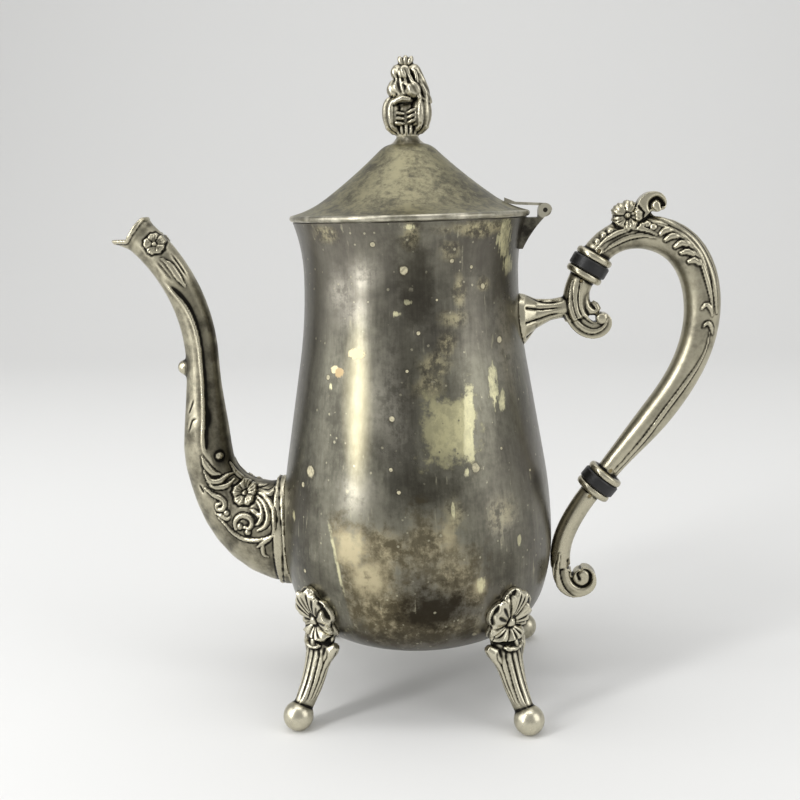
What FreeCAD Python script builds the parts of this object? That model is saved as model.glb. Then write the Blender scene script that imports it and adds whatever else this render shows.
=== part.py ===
import FreeCAD, Part
import math
import operator
import os
from types import SimpleNamespace

import Sketcher
from FreeCAD import Placement, Rotation, Vector

# Footed coffee pot of plated sheet metal with cast spout, handle, feet and finial.
# Millimetres, +Z up, origin on the body's axis at table level.
# The handle points to +X and the spout to -X.

SIZES = {
    # Body, a spun shell: belly, waist and flared mouth
    "belly_radius": 55.3,
    "belly_height": 66.0,
    "lower_curve": 71.4,
    "lower_sweep": 17.4,
    "corner_curve": 22.5,
    "corner_sweep": 48.2,
    "belly_tangent": 15.8,
    "waist_tangent": 17.3,
    "waist_radius": 42.4,
    "rim_flare": 3.5,
    "rim_height": 194.6,
    "flare_height": 20.6,
    "wall": 1.2,
    # Spout, an S of two bends and a straight riser
    "spout_port_radius": 9.0,
    "spout_root_rise": 1.0,
    "spout_riser_offset": 31.7,
    "spout_lower_bend": 36.0,
    "spout_riser_drop": 54.6,
    "spout_upper_bend": 68.3,
    "spout_lean": 47.4,
    "spout_root_depth": 22.8,
    "spout_root_side": 15.5,
    "spout_knee_depth": 10.3,
    "spout_riser_depth": 6.8,
    "spout_mouth_depth": 7.0,
    "spout_side": 0.86,
    "spout_wall": 1.6,
    "spout_collar_width": 2.4,
    "spout_collar_proud": 0.6,
    "lip_reach": 11.9,
    "lip_level": 0.8,
    # Lid, a spun cone with a flared brim, a wire bead and a locating ring
    "lid_gap": 0.3,
    "lid_wall": 1.0,
    "bead_height": 2.4,
    "bead_depth": 1.2,
    "lid_brim_radius": 33.0,
    "lid_brim_rise": 5.9,
    "lid_brim_curve": 37.6,
    "lid_flank_curve": 200.0,
    "lid_shoulder_radius": 11.0,
    "lid_shoulder_rise": 24.0,
    "lid_shoulder_curve": 8.9,
    "lid_top_radius": 7.2,
    "lid_top_rise": 26.1,
    "bezel_clearance": 3.1,
    "bezel_wall": 0.9,
    "bezel_depth": 6.0,
    # Finial, a cast bud on a collar, held by a nut under the lid
    "collar_radius": 7.0,
    "collar_waist": 4.2,
    "collar_height": 2.8,
    "bud_height": 30.5,
    "bud_petal_radius": 9.25,
    "bud_petal_level": 7.6,
    "bud_crown_radius": 7.2,
    "bud_crown_level": 18.6,
    "bud_neck_radius": 2.9,
    "stud_radius": 1.5,
    "stud_length": 9.0,
    "stud_clearance": 0.1,
    "nut_flats": 5.5,
    "nut_height": 2.4,
    # Lid hinge behind the mouth, on the handle side
    "hinge_offset": 6.9,
    "hinge_rise": 2.4,
    "knuckle_radius": 2.6,
    "pin_radius": 0.9,
    "pin_clearance": 0.05,
    "hinge_width": 14.0,
    "lid_knuckle": 5.6,
    "knuckle_gap": 0.3,
    "pin_recess": 0.5,
    "strap_thickness": 1.0,
    "strap_width": 12.0,
    "strap_bend": 11.2,
    "strap_bend_rise": 0.7,
    "strap_reach": 15.6,
    "strap_rise": 2.5,
    "lug_drop": 12.2,
    "lug_bow": 2.4,
    "lug_clearance": 0.7,
    # Handle: grip between two insulators, each held in a cast socket
    "upper_joint_offset": 27.7,
    "upper_joint_drop": 19.6,
    "upper_joint_angle": 59.4,
    "lower_joint_offset": 19.35,
    "lower_joint_rise": 21.6,
    "lower_joint_angle": 51.8,
    "insulator_radius": 7.7,
    "insulator_thickness": 4.8,
    "insulator_edge": 0.5,
    "tenon_radius": 2.6,
    "tenon_length": 5.5,
    "tenon_clearance": 0.1,
    "cross_pin_radius": 0.7,
    "ring_radius": 7.5,
    "ring_thickness": 2.9,
    "ring_round": 1.2,
    "grip_reach": 71.4,
    "grip_neck": 5.4,
    "grip_swell": 7.3,
    "grip_taper": 6.2,
    "grip_tail": 4.3,
    "grip_side": 0.9,
    "crest_width": 9.0,
    "socket_post": 5.0,
    "socket_scroll_width": 7.0,
    "arm_flare_height": 10.6,
    "arm_flare_side": 8.2,
    "arm_radius": 4.2,
    "lower_neck": 4.1,
    # Feet: a flower knee on the body, a splayed leg and a ball toe
    "foot_azimuth": 45.0,
    "toe_offset": 8.0,
    "toe_radius": 5.9,
    "toe_pad_radius": 1.9,
    "knee_height": 45.5,
    "petal_radius": 5.4,
    "petal_orbit": 5.9,
    "petal_proud": 2.4,
    "petal_count": 5,
    "leg_depth": 4.0,
    "leg_top_side": 7.4,
    "leg_bottom_side": 3.6,
}


def operation(symbol, compute):
    """Forward and reflected forms of one operator of Size."""
    def forward(left, right):
        right = as_size(right)
        return Size(compute(left.value, right.value), f"({left.text} {symbol} {right.text})")

    def reflected(right, left):
        return forward(as_size(left), right)

    return forward, reflected


class Size:
    """A number together with the sheet expression that yields it."""

    def __init__(self, value, text):
        self.value = value
        self.text = text

    def __float__(self):
        return self.value

    def __neg__(self):
        return 0 - self

    __add__, __radd__ = operation("+", operator.add)
    __sub__, __rsub__ = operation("-", operator.sub)
    __mul__, __rmul__ = operation("*", operator.mul)
    __truediv__, __rtruediv__ = operation("/", operator.truediv)


def as_size(number):
    return number if isinstance(number, Size) else Size(float(number), repr(float(number)))


def function(name, compute):
    """A function of the sheet's language that works on Size, with angles in degrees."""
    def apply(argument):
        argument = as_size(argument)
        return Size(compute(argument.value), f"{name}({argument.text})")

    return apply


sin = function("sin", lambda angle: math.sin(math.radians(angle)))
cos = function("cos", lambda angle: math.cos(math.radians(angle)))
tan = function("tan", lambda angle: math.tan(math.radians(angle)))
atan = function("atan", lambda ratio: math.degrees(math.atan(ratio)))
sqrt = function("sqrt", math.sqrt)

doc = FreeCAD.newDocument("coffee_pot")
sheet = doc.addObject("Spreadsheet::Sheet", "sizes")
for row, (alias, number) in enumerate(SIZES.items(), start=1):
    sheet.set(f"A{row}", alias)
    sheet.set(f"B{row}", str(number))
    sheet.setAlias(f"B{row}", alias)
doc.recompute()
dim = SimpleNamespace(**{alias: Size(float(sheet.get(alias)), f"sizes.{alias}") for alias in SIZES})
num = SimpleNamespace(**{alias: float(sheet.get(alias)) for alias in SIZES})

sub_parts = []


# Document helpers

def bind(item, path, size):
    item.setExpression(path, as_size(size).text)


def new_body(name):
    body = doc.addObject("PartDesign::Body", name)
    doc.recompute()
    return body


def keep(item, label):
    """Enter an object as a finished sub-part under its label."""
    item.Label = label
    sub_parts.append(item)
    return item


def new_sketch(body, name, plane):
    sketch = body.newObject("Sketcher::SketchObject", name)
    support = [feature for feature in body.Origin.OriginFeatures if feature.Role == plane]
    sketch.AttachmentSupport = [(support[0], "")]
    sketch.MapMode = "FlatFace"
    return sketch


def arc_between(start, end, radius):
    """Minor arc from start to end; a positive radius turns left, a negative one right."""
    chord = end - start
    middle = (start + end) * 0.5
    rise = math.sqrt(max(radius * radius - chord.Length ** 2 / 4, 0))
    normal = Vector(-chord.y, chord.x, 0).normalize()
    side = math.copysign(1, radius)
    center = middle + normal * rise * side
    top = center - normal * abs(radius) * side
    return Part.Arc(start, top, end)


def place_point(sketch, curve, end, corner):
    """Bind one end of a curve to a corner measured from the sketch's origin."""
    for kind, axis, size in (("DistanceX", -2, corner[0]), ("DistanceY", -1, corner[1])):
        if abs(as_size(size).value) < 1e-9:
            sketch.addConstraint(Sketcher.Constraint("PointOnObject", curve, end, axis))
        else:
            value = as_size(size).value
            index = sketch.addConstraint(Sketcher.Constraint(kind, -1, 1, curve, end, value))
            bind(sketch, f"Constraints[{index}]", size)


def outline(body, name, plane, corners, radii=None):
    """Closed sketch through the corners; radii gives the arc radius of a side by its number."""
    radii = radii or {}
    sketch = new_sketch(body, name, plane)
    points = [Vector(as_size(x).value, as_size(y).value, 0) for x, y in corners]
    first_end = []
    for side, start in enumerate(points):
        end = points[(side + 1) % len(points)]
        if side in radii:
            turn = as_size(radii[side]).value
            curve = sketch.addGeometry(arc_between(start, end, turn))
            first_end.append((1, 2) if turn > 0 else (2, 1))
        else:
            curve = sketch.addGeometry(Part.LineSegment(start, end))
            first_end.append((1, 2))
    for side in range(len(points)):
        before = side - 1 if side else len(points) - 1
        sketch.addConstraint(Sketcher.Constraint(
            "Coincident", before, first_end[before][1], side, first_end[side][0]))
        place_point(sketch, side, first_end[side][0], corners[side])
    for side, radius in radii.items():
        size = radius if as_size(radius).value > 0 else -radius
        index = sketch.addConstraint(Sketcher.Constraint("Radius", side, as_size(size).value))
        bind(sketch, f"Constraints[{index}]", size)
    doc.recompute()
    return sketch


def disc(body, name, plane, center, radius):
    sketch = new_sketch(body, name, plane)
    at = Vector(as_size(center[0]).value, as_size(center[1]).value, 0)
    curve = sketch.addGeometry(Part.Circle(at, Vector(0, 0, 1), as_size(radius).value))
    place_point(sketch, curve, 3, center)
    index = sketch.addConstraint(Sketcher.Constraint("Radius", curve, as_size(radius).value))
    bind(sketch, f"Constraints[{index}]", radius)
    doc.recompute()
    return sketch


def revolve(body, name, corners, radii=None):
    """Turn an outline of radius and height about the body's own Z axis."""
    sketch = outline(body, name + "_outline", "XZ_Plane", corners, radii)
    feature = body.newObject("PartDesign::Revolution", name)
    feature.Profile = sketch
    feature.ReferenceAxis = (sketch, ["V_Axis"])
    feature.Angle = 360
    doc.recompute()
    return feature


def pad(body, name, sketch, length):
    feature = body.newObject("PartDesign::Pad", name)
    feature.Profile = sketch
    feature.SideType = "Symmetric"
    bind(feature, "Length", length)
    doc.recompute()
    return feature


def pocket(body, name, sketch, length):
    """Cut a sketch through to both sides of its plane, over the given length in all."""
    before = body.Shape.Volume
    feature = body.newObject("PartDesign::Pocket", name)
    feature.Profile = sketch
    feature.SideType = "Symmetric"
    bind(feature, "Length", length)
    doc.recompute()
    if body.Shape.Volume > before - 0.1:
        raise RuntimeError(f"{name} cuts nothing")
    return feature


def shell(body, name, base, thickness):
    """Hollow a turned solid inwards and open its flat ends."""
    flats = [f"Face{number}" for number, face in enumerate(base.Shape.Faces, start=1)
             if isinstance(face.Surface, Part.Plane)]
    feature = body.newObject("PartDesign::Thickness", name)
    feature.Base = (base, flats)
    feature.Reversed = True
    bind(feature, "Value", thickness)
    doc.recompute()
    return feature


def feature_of(shape, label):
    """A sub-part of free form, cast rather than turned or bent."""
    item = doc.addObject("Part::Feature", label)
    item.Shape = shape
    item.Placement = Placement()
    return item


def cut(label, base, tool):
    item = doc.addObject("Part::Cut", label + "_seated")
    item.Base = base
    item.Tool = tool
    doc.recompute()
    return keep(item, label)


# Shared places, each worked out once from the sizes

rim_radius = dim.waist_radius + dim.rim_flare
waist_height = dim.rim_height - dim.flare_height
lid_seat = dim.rim_height + dim.lid_gap
lid_edge = lid_seat + dim.bead_height
lid_top = lid_edge + dim.lid_top_rise
bud_base = lid_top + dim.collar_height
hinge_x = rim_radius + dim.hinge_offset
hinge_z = dim.rim_height + dim.hinge_rise
upper_joint = (dim.waist_radius + dim.upper_joint_offset, dim.rim_height - dim.upper_joint_drop)
lower_joint = (dim.belly_radius + dim.lower_joint_offset, dim.belly_height + dim.lower_joint_rise)


# Body outline: corner, lower belly, upper belly, straight flank, waist and flared mouth

flank_angle = atan((dim.belly_radius - dim.waist_radius)
                   / (waist_height - dim.belly_height - dim.belly_tangent - dim.waist_tangent))
seam_angle = dim.lower_sweep + dim.corner_sweep
upper_curve = dim.belly_tangent / tan(flank_angle / 2)
waist_curve = dim.waist_tangent / tan(flank_angle / 2)
flare_curve = (dim.flare_height * dim.flare_height / dim.rim_flare + dim.rim_flare) / 2

corner_start = (dim.belly_radius - dim.lower_curve * (1 - cos(dim.lower_sweep)),
                dim.belly_height - dim.lower_curve * sin(dim.lower_sweep))
seam = (corner_start[0] - dim.corner_curve * (cos(dim.lower_sweep) - cos(seam_angle)),
        corner_start[1] - dim.corner_curve * (sin(seam_angle) - sin(dim.lower_sweep)))
belly = (dim.belly_radius, dim.belly_height)
flank_foot = (dim.belly_radius - dim.belly_tangent * sin(flank_angle),
              dim.belly_height + dim.belly_tangent * (1 + cos(flank_angle)))
flank_head = (dim.waist_radius + dim.waist_tangent * sin(flank_angle),
              waist_height - dim.waist_tangent * (1 + cos(flank_angle)))
waist = (dim.waist_radius, waist_height)
rim = (rim_radius, dim.rim_height)

BODY_CORNERS = [(0, seam[1]), seam, corner_start, belly, flank_foot, flank_head, waist, rim,
                (0, dim.rim_height)]
BODY_RADII = {1: dim.corner_curve, 2: dim.lower_curve, 3: upper_curve,
              5: -waist_curve, 6: -flare_curve}
base_curve = seam[0] / cos(seam_angle)
base_bottom = seam[1] - base_curve * (1 - sin(seam_angle))


def turned_solid(corners, radii, swell=0.0):
    """Solid of revolution of an outline, swollen by a layer where one is asked for."""
    points = [Vector(as_size(x).value, 0, as_size(z).value) for x, z in corners]
    edges = []
    for side, start in enumerate(points):
        end = points[(side + 1) % len(points)]
        if side in radii:
            flat = arc_between(Vector(start.x, start.z, 0), Vector(end.x, end.z, 0),
                               as_size(radii[side]).value)
            edge = flat.toShape()
            edge.rotate(Vector(), Vector(1, 0, 0), 90)
            edges.append(edge)
        else:
            edges.append(Part.makeLine(start, end))
    solid = Part.Face(Part.Wire(edges)).revolve(Vector(), Vector(0, 0, 1), 360)
    return solid.makeOffsetShape(swell, 0.01, join=2) if swell else solid


# The underside is closed by the base's own arc, so seats there follow the whole body
POT_CORNERS = [(0, base_bottom)] + BODY_CORNERS[1:]
POT_RADII = {0: base_curve, **BODY_RADII}
pot_form = turned_solid(POT_CORNERS, POT_RADII)
pot_tool = feature_of(pot_form, "pot_form")


def body_radius(height):
    """Outer radius of the body at a height."""
    line = Part.makeLine(Vector(0, 0, height), Vector(500, 0, height))
    return pot_form.common(line).BoundBox.XMax


# Body shell, with the port that feeds the spout

body_shell = new_body("body_shell")
wall_form = revolve(body_shell, "spun_form", BODY_CORNERS, BODY_RADII)
shell(body_shell, "spun_wall", wall_form, dim.wall)
spout_root_height = dim.belly_height + dim.spout_root_rise
port = disc(body_shell, "port_circle", "YZ_Plane", (0, spout_root_height), dim.spout_port_radius)
plain_wall = body_shell.Shape.Volume
port_cut = body_shell.newObject("PartDesign::Pocket", "port")
port_cut.Profile = port
bind(port_cut, "Length", dim.belly_radius + dim.wall)
doc.recompute()
if body_shell.Shape.Volume > plain_wall - 0.1:
    raise RuntimeError("port cuts nothing")
keep(body_shell, "body_shell")

base_plate = new_body("base_plate")
dish_curve = base_curve - dim.wall
dish_rise = base_bottom + base_curve - seam[1]
dish_edge = sqrt(dish_curve * dish_curve - dish_rise * dish_rise)
revolve(base_plate, "dish", [(0, base_bottom), seam, (dish_edge, seam[1]), (0, base_bottom + dim.wall)],
        {0: base_curve, 2: -dish_curve})
keep(base_plate, "base_plate")


# Cast forms: elliptical sections lofted along a path in the XZ plane

def section(at, along, depth, side):
    """Elliptical wire square to a direction, depth in the XZ plane and side across it."""
    across = Vector(0, 1, 0)
    normal = Vector(along).normalize().cross(across)
    points = []
    for number in range(12):
        angle = math.radians(30 * number)
        points.append(at + normal * depth * math.cos(angle) + across * side * math.sin(angle))
    curve = Part.BSplineCurve()
    curve.interpolate(points, PeriodicFlag=True)
    return Part.Wire(curve.toShape())


def cast_tube(stations):
    """Solid through stations of place, direction, depth and side."""
    return Part.makeLoft([section(*station) for station in stations], True, True)


def blend(values, share):
    """Smooth run through a few values spaced along a path, by share of its length."""
    shares = [value[0] for value in values]
    index = max(i for i, limit in enumerate(shares[:-1]) if share >= limit or i == 0)
    (left, low), (right, high) = values[index], values[index + 1]
    step = min(max((share - left) / (right - left), 0), 1)
    return low + (high - low) * step * step * (3 - 2 * step)


def spline(points):
    """Smooth curve through points."""
    curve = Part.BSplineCurve()
    curve.interpolate(points)
    return curve


def along_spline(curve, count, depth_of, flatness):
    """Stations evenly spaced along a curve."""
    length = curve.length()
    stations = []
    for number in range(count):
        share = number / (count - 1)
        parameter = curve.parameterAtDistance(length * share, curve.FirstParameter)
        depth = depth_of(share)
        stations.append((curve.value(parameter), Vector(*curve.tangent(parameter)[0]),
                         depth, depth * flatness))
    return stations


def volute(eye, start, turn, radii, bands, width):
    """Scroll cut from a plate: a spiral band round an eye, with a boss at its end."""
    def arm(inset):
        points = []
        for number in range(9):
            share = number / 8
            angle = math.radians(start + turn * share)
            reach = radii[0] * (radii[1] / radii[0]) ** share
            reach -= inset * (bands[0] + (bands[1] - bands[0]) * share)
            points.append(eye + Vector(math.cos(angle), 0, math.sin(angle)) * reach)
        return points

    outer, inner = arm(0), arm(1)
    edges = [spline(outer).toShape(), Part.makeLine(outer[-1], inner[-1]),
             spline(inner[::-1]).toShape(), Part.makeLine(inner[0], outer[0])]
    plate = Part.Face(Part.Wire(edges)).extrude(Vector(0, width, 0))
    boss = Part.makeCylinder(radii[1] * 0.82, width, eye, Vector(0, 1, 0))
    solid = plate.fuse(boss)
    solid.translate(Vector(0, -width / 2, 0))
    return solid


# Spout: root bend, riser and outward bend, hollow, with a pouring lip

def spout_stations(inset):
    """Sections from inside the body to beyond the mouth, drawn in by a wall."""
    riser_x = -(num.belly_radius + num.spout_riser_offset)
    root_z = spout_root_height.value
    riser_top = num.rim_height - num.spout_riser_drop
    bend_x = riser_x + num.spout_lower_bend
    bend_z = root_z + num.spout_lower_bend
    places = []
    for angle in range(0, 91, 10):
        turn = math.radians(angle)
        at = Vector(bend_x - num.spout_lower_bend * math.sin(turn), 0,
                    bend_z - num.spout_lower_bend * math.cos(turn))
        places.append((at, Vector(-math.cos(turn), 0, math.sin(turn))))
    for share in (0.25, 0.5, 0.75):
        places.append((Vector(riser_x, 0, bend_z + (riser_top - bend_z) * share), Vector(0, 0, 1)))
    for step in range(11):
        turn = math.radians(num.spout_lean * step / 10)
        at = Vector(riser_x - num.spout_upper_bend * (1 - math.cos(turn)), 0,
                    riser_top + num.spout_upper_bend * math.sin(turn))
        places.append((at, Vector(-math.sin(turn), 0, math.cos(turn))))
    run = [0]
    for before, after in zip(places, places[1:]):
        run.append(run[-1] + (after[0] - before[0]).Length)
    depths = [(0, num.spout_root_depth), (0.33, num.spout_knee_depth),
              (0.62, num.spout_riser_depth), (1, num.spout_mouth_depth)]
    sides = [(0, num.spout_root_side), (0.33, num.spout_knee_depth * num.spout_side),
             (0.62, num.spout_riser_depth * num.spout_side),
             (1, num.spout_mouth_depth * num.spout_side)]
    stations = [(at, along, blend(depths, length / run[-1]) - inset,
                 blend(sides, length / run[-1]) - inset)
                for (at, along), length in zip(places, run)]
    at, along, depth, side = stations[0]
    start = (at - along * num.spout_lower_bend / 2, along, depth, side)
    at, along, depth, side = stations[-1]
    flare = (at + along * 6.5, along, depth + 2.2, side + 0.7)
    beyond = (at + along * 15, along, depth + 5.5, side + 1.5)
    return [start] + stations + [flare, beyond]


def spout_shape():
    outer_stations = spout_stations(0)
    outer = cast_tube(outer_stations)
    bore = cast_tube(spout_stations(num.spout_wall))
    mouth = outer_stations[-3][0]
    tip_x = mouth.x - num.lip_reach
    lip_z = mouth.z - num.lip_level
    trim = [(tip_x, lip_z - 30), (tip_x, lip_z), (tip_x + 6.9, lip_z - 0.4),
            (tip_x + 11.2, lip_z + 6), (tip_x + 13.3, lip_z + 8.5), (tip_x + 16, lip_z + 9.2),
            (tip_x + 22, lip_z + 26), (tip_x - 30, lip_z + 26), (tip_x - 30, lip_z - 30)]
    corners = [Vector(x, -30, z) for x, z in trim]
    trimmer = Part.Face(Part.makePolygon(corners + corners[:1])).extrude(Vector(0, 60, 0))
    collar_x = body_radius(spout_root_height.value) + num.spout_collar_width
    collar = section(Vector(-collar_x, 0, spout_root_height.value), Vector(1, 0, 0),
                     num.spout_root_depth + num.spout_collar_proud,
                     num.spout_root_side + num.spout_collar_proud)
    band = Part.Face(collar).extrude(Vector(collar_x / 2, 0, 0))
    return outer.fuse(band).cut(pot_form).cut(bore).cut(trimmer)


keep(feature_of(spout_shape(), "spout"), "spout")


# Lid: spun cone, wire bead on its edge, locating ring that drops into the mouth

LID_CORNERS = [(0, lid_seat), (rim_radius, lid_seat), (rim_radius, lid_edge),
               (dim.lid_brim_radius, lid_edge + dim.lid_brim_rise),
               (dim.lid_shoulder_radius, lid_edge + dim.lid_shoulder_rise),
               (dim.lid_top_radius, lid_top), (0, lid_top)]
LID_RADII = {2: -dim.lid_brim_curve, 3: -dim.lid_flank_curve, 4: dim.lid_shoulder_curve}
lid_form = turned_solid(LID_CORNERS, LID_RADII)
lid_tool = feature_of(lid_form, "lid_form")

lid_shell = new_body("lid_shell")
cone_form = revolve(lid_shell, "cone_form", LID_CORNERS, LID_RADII)
open_face = [f"Face{number}" for number, face in enumerate(cone_form.Shape.Faces, start=1)
             if face.BoundBox.ZMax < lid_seat.value + 0.01]
cone_wall = lid_shell.newObject("PartDesign::Thickness", "cone_wall")
cone_wall.Base = (cone_form, open_face)
cone_wall.Reversed = True
bind(cone_wall, "Value", dim.lid_wall)
doc.recompute()
stud_hole = disc(lid_shell, "stud_hole_circle", "XY_Plane", (0, 0), dim.stud_radius + dim.stud_clearance)
pocket(lid_shell, "stud_hole", stud_hole, 2 * lid_top + dim.wall)
keep(lid_shell, "lid_shell")

lid_bead = new_body("lid_rim_bead")
bead_curve = (dim.bead_height * dim.bead_height / dim.bead_depth / 4 + dim.bead_depth) / 2
bead_brim = (rim_radius + dim.bead_depth, lid_seat + dim.bead_height / 2)
revolve(lid_bead, "bead", [(rim_radius, lid_seat), bead_brim, (rim_radius, lid_edge)],
        {0: bead_curve, 1: bead_curve})
keep(lid_bead, "lid_rim_bead")

bezel_radius = rim_radius - dim.wall - dim.bezel_clearance
bezel_flange = rim_radius - dim.lid_wall
lid_bezel = new_body("lid_bezel")
revolve(lid_bezel, "bezel", [
    (bezel_radius - dim.bezel_wall, lid_seat - dim.bezel_depth), (bezel_radius, lid_seat - dim.bezel_depth),
    (bezel_radius, lid_seat), (bezel_flange, lid_seat), (bezel_flange, lid_seat + dim.bezel_wall),
    (bezel_radius - dim.bezel_wall, lid_seat + dim.bezel_wall)])
keep(lid_bezel, "lid_bezel")


# Finial: cast bud with a stud, a turned collar under it and a nut inside the lid

collar = new_body("finial_collar")
stud_bore = dim.stud_radius + dim.stud_clearance
revolve(collar, "collar", [(stud_bore, lid_top), (dim.collar_radius, lid_top),
                           (dim.collar_waist, bud_base), (stud_bore, bud_base)],
        {1: -2 * dim.collar_height})
keep(collar, "finial_collar")


def petal_ring(body, name, radius, level, count, height, thickness, span, lean_out):
    """Ring of egg-shaped petals about the bud's axis."""
    petal = body.newObject("PartDesign::AdditiveEllipsoid", name)
    bind(petal, "Radius1", height)
    bind(petal, "Radius2", thickness)
    bind(petal, "Radius3", span)
    petal.AttachmentSupport = [(body.Origin.OriginFeatures[3], "")]
    petal.MapMode = "FlatFace"
    petal.AttachmentOffset = Placement(Vector(), Rotation(Vector(0, 1, 0), lean_out))
    bind(petal, "AttachmentOffset.Base.x", radius - thickness)
    bind(petal, "AttachmentOffset.Base.z", level)
    doc.recompute()
    ring = body.newObject("PartDesign::PolarPattern", name + "_ring")
    ring.Originals = [petal]
    ring.Axis = (body.Origin.OriginFeatures[2], [""])
    ring.Angle = 360
    ring.Occurrences = count
    body.Tip = ring
    doc.recompute()
    return ring


finial = new_body("finial")
crown_level = bud_base + dim.bud_crown_level
petal_level = bud_base + dim.bud_petal_level
bud_tip = bud_base + dim.bud_height
revolve(finial, "bud_core", [
    (0, bud_base - dim.stud_length), (dim.stud_radius, bud_base - dim.stud_length),
    (dim.stud_radius, bud_base), (dim.bud_neck_radius, bud_base),
    (dim.bud_petal_radius * 0.8, petal_level), (dim.bud_crown_radius * 0.8, crown_level), (0, bud_tip)],
    {3: 14, 5: 20})
petal_ring(finial, "petal", dim.bud_petal_radius, petal_level, 6, dim.bud_petal_level * 0.9,
           dim.bud_petal_radius * 0.34, dim.bud_petal_radius * 0.46, 6)
petal_ring(finial, "crown_petal", dim.bud_crown_radius, crown_level, 5, dim.bud_petal_level * 0.85,
           dim.bud_crown_radius * 0.36, dim.bud_crown_radius * 0.5, -10)
keep(finial, "finial")

nut = new_body("finial_nut")
nut_corner = dim.nut_flats / (2 * cos(30))
nut_top = lid_top - dim.lid_wall
nut_sketch = outline(nut, "nut_hexagon", "XY_Plane",
                     [(nut_corner * cos(60 * n), nut_corner * sin(60 * n)) for n in range(6)])
nut_pad = nut.newObject("PartDesign::Pad", "nut_block")
nut_pad.Profile = nut_sketch
bind(nut_pad, "Length", dim.nut_height)
doc.recompute()
pocket(nut, "nut_bore", disc(nut, "nut_bore_circle", "XY_Plane", (0, 0), stud_bore), 4 * dim.nut_height)
bind(nut, "Placement.Base.z", nut_top - dim.nut_height)
keep(nut, "finial_nut")


# Lid hinge: strap and middle knuckle on the lid, lug and outer knuckles on the body

knuckle_top = hinge_z + dim.knuckle_radius
bore_radius = dim.pin_radius + dim.pin_clearance

strap = new_body("lid_leaf_blank")
pad(strap, "knuckle", disc(strap, "knuckle_circle", "XZ_Plane", (hinge_x, hinge_z), dim.knuckle_radius),
    dim.lid_knuckle)


def strap_outline(name, near):
    """Side of the strap, from near the pin to a bend and then up the flank of the lid."""
    slope = dim.strap_bend_rise / dim.strap_bend
    bend = (hinge_x - dim.strap_bend, knuckle_top + dim.strap_bend_rise)
    end = (hinge_x - dim.strap_reach, knuckle_top + dim.strap_rise)
    start = (hinge_x - near, knuckle_top + near * slope)
    return outline(strap, name, "XZ_Plane", [
        end, (end[0], end[1] - 2 * dim.strap_thickness), (bend[0], bend[1] - dim.strap_thickness),
        (start[0], start[1] - dim.strap_thickness), start, bend])


pad(strap, "tongue", strap_outline("tongue_outline", as_size(0)), dim.lid_knuckle)
pad(strap, "plate", strap_outline("plate_outline", 2.5 * dim.knuckle_radius), dim.strap_width)
pocket(strap, "lid_bore", disc(strap, "lid_bore_circle", "XZ_Plane", (hinge_x, hinge_z), bore_radius),
       2 * dim.hinge_width)
cut("hinge_lid_leaf", strap, lid_tool)

lug = new_body("bracket_blank")
lug_foot = (rim_radius - dim.rim_flare / 2, dim.rim_height - dim.lug_drop)
lug_root = rim_radius - 2 * dim.rim_flare
lug_top = lid_seat - dim.lug_clearance
lug_reach = hinge_x + dim.knuckle_radius - lug_foot[0]
lug_rise = hinge_z - lug_foot[1]
lug_curve = dim.lug_bow * sqrt(lug_reach * lug_reach + lug_rise * lug_rise)
pad(lug, "lug", outline(lug, "lug_outline", "XZ_Plane", [
    (hinge_x + dim.knuckle_radius, hinge_z), (hinge_x - dim.knuckle_radius, hinge_z),
    (hinge_x - dim.knuckle_radius, lug_top), (lug_root, lug_top), (lug_root, lug_foot[1]), lug_foot],
    {0: dim.knuckle_radius * 1.0001, 5: -lug_curve}), dim.hinge_width)
slot_reach = dim.knuckle_radius + 2 * dim.knuckle_gap
pocket(lug, "knuckle_slot", outline(lug, "slot_outline", "XZ_Plane", [
    (hinge_x - slot_reach, hinge_z - slot_reach), (hinge_x + 2 * slot_reach, hinge_z - slot_reach),
    (hinge_x + 2 * slot_reach, hinge_z + slot_reach), (hinge_x - slot_reach, hinge_z + slot_reach)]),
    dim.lid_knuckle + 2 * dim.knuckle_gap)
pocket(lug, "lug_bore", disc(lug, "lug_bore_circle", "XZ_Plane", (hinge_x, hinge_z), dim.pin_radius),
       2 * dim.hinge_width)
cut("hinge_bracket", lug, pot_tool)

hinge_pin = doc.addObject("Part::Cylinder", "hinge_pin")
bind(hinge_pin, "Radius", dim.pin_radius)
bind(hinge_pin, "Height", dim.hinge_width - 2 * dim.pin_recess)
hinge_pin.Placement = Placement(Vector(), Rotation(Vector(1, 0, 0), -90))
bind(hinge_pin, "Placement.Base.x", hinge_x)
bind(hinge_pin, "Placement.Base.y", dim.pin_recess - dim.hinge_width / 2)
bind(hinge_pin, "Placement.Base.z", hinge_z)
keep(hinge_pin, "hinge_pin")


# Handle joints: an insulator disc with a tenon each way, crossed by a pin in each tenon

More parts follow.
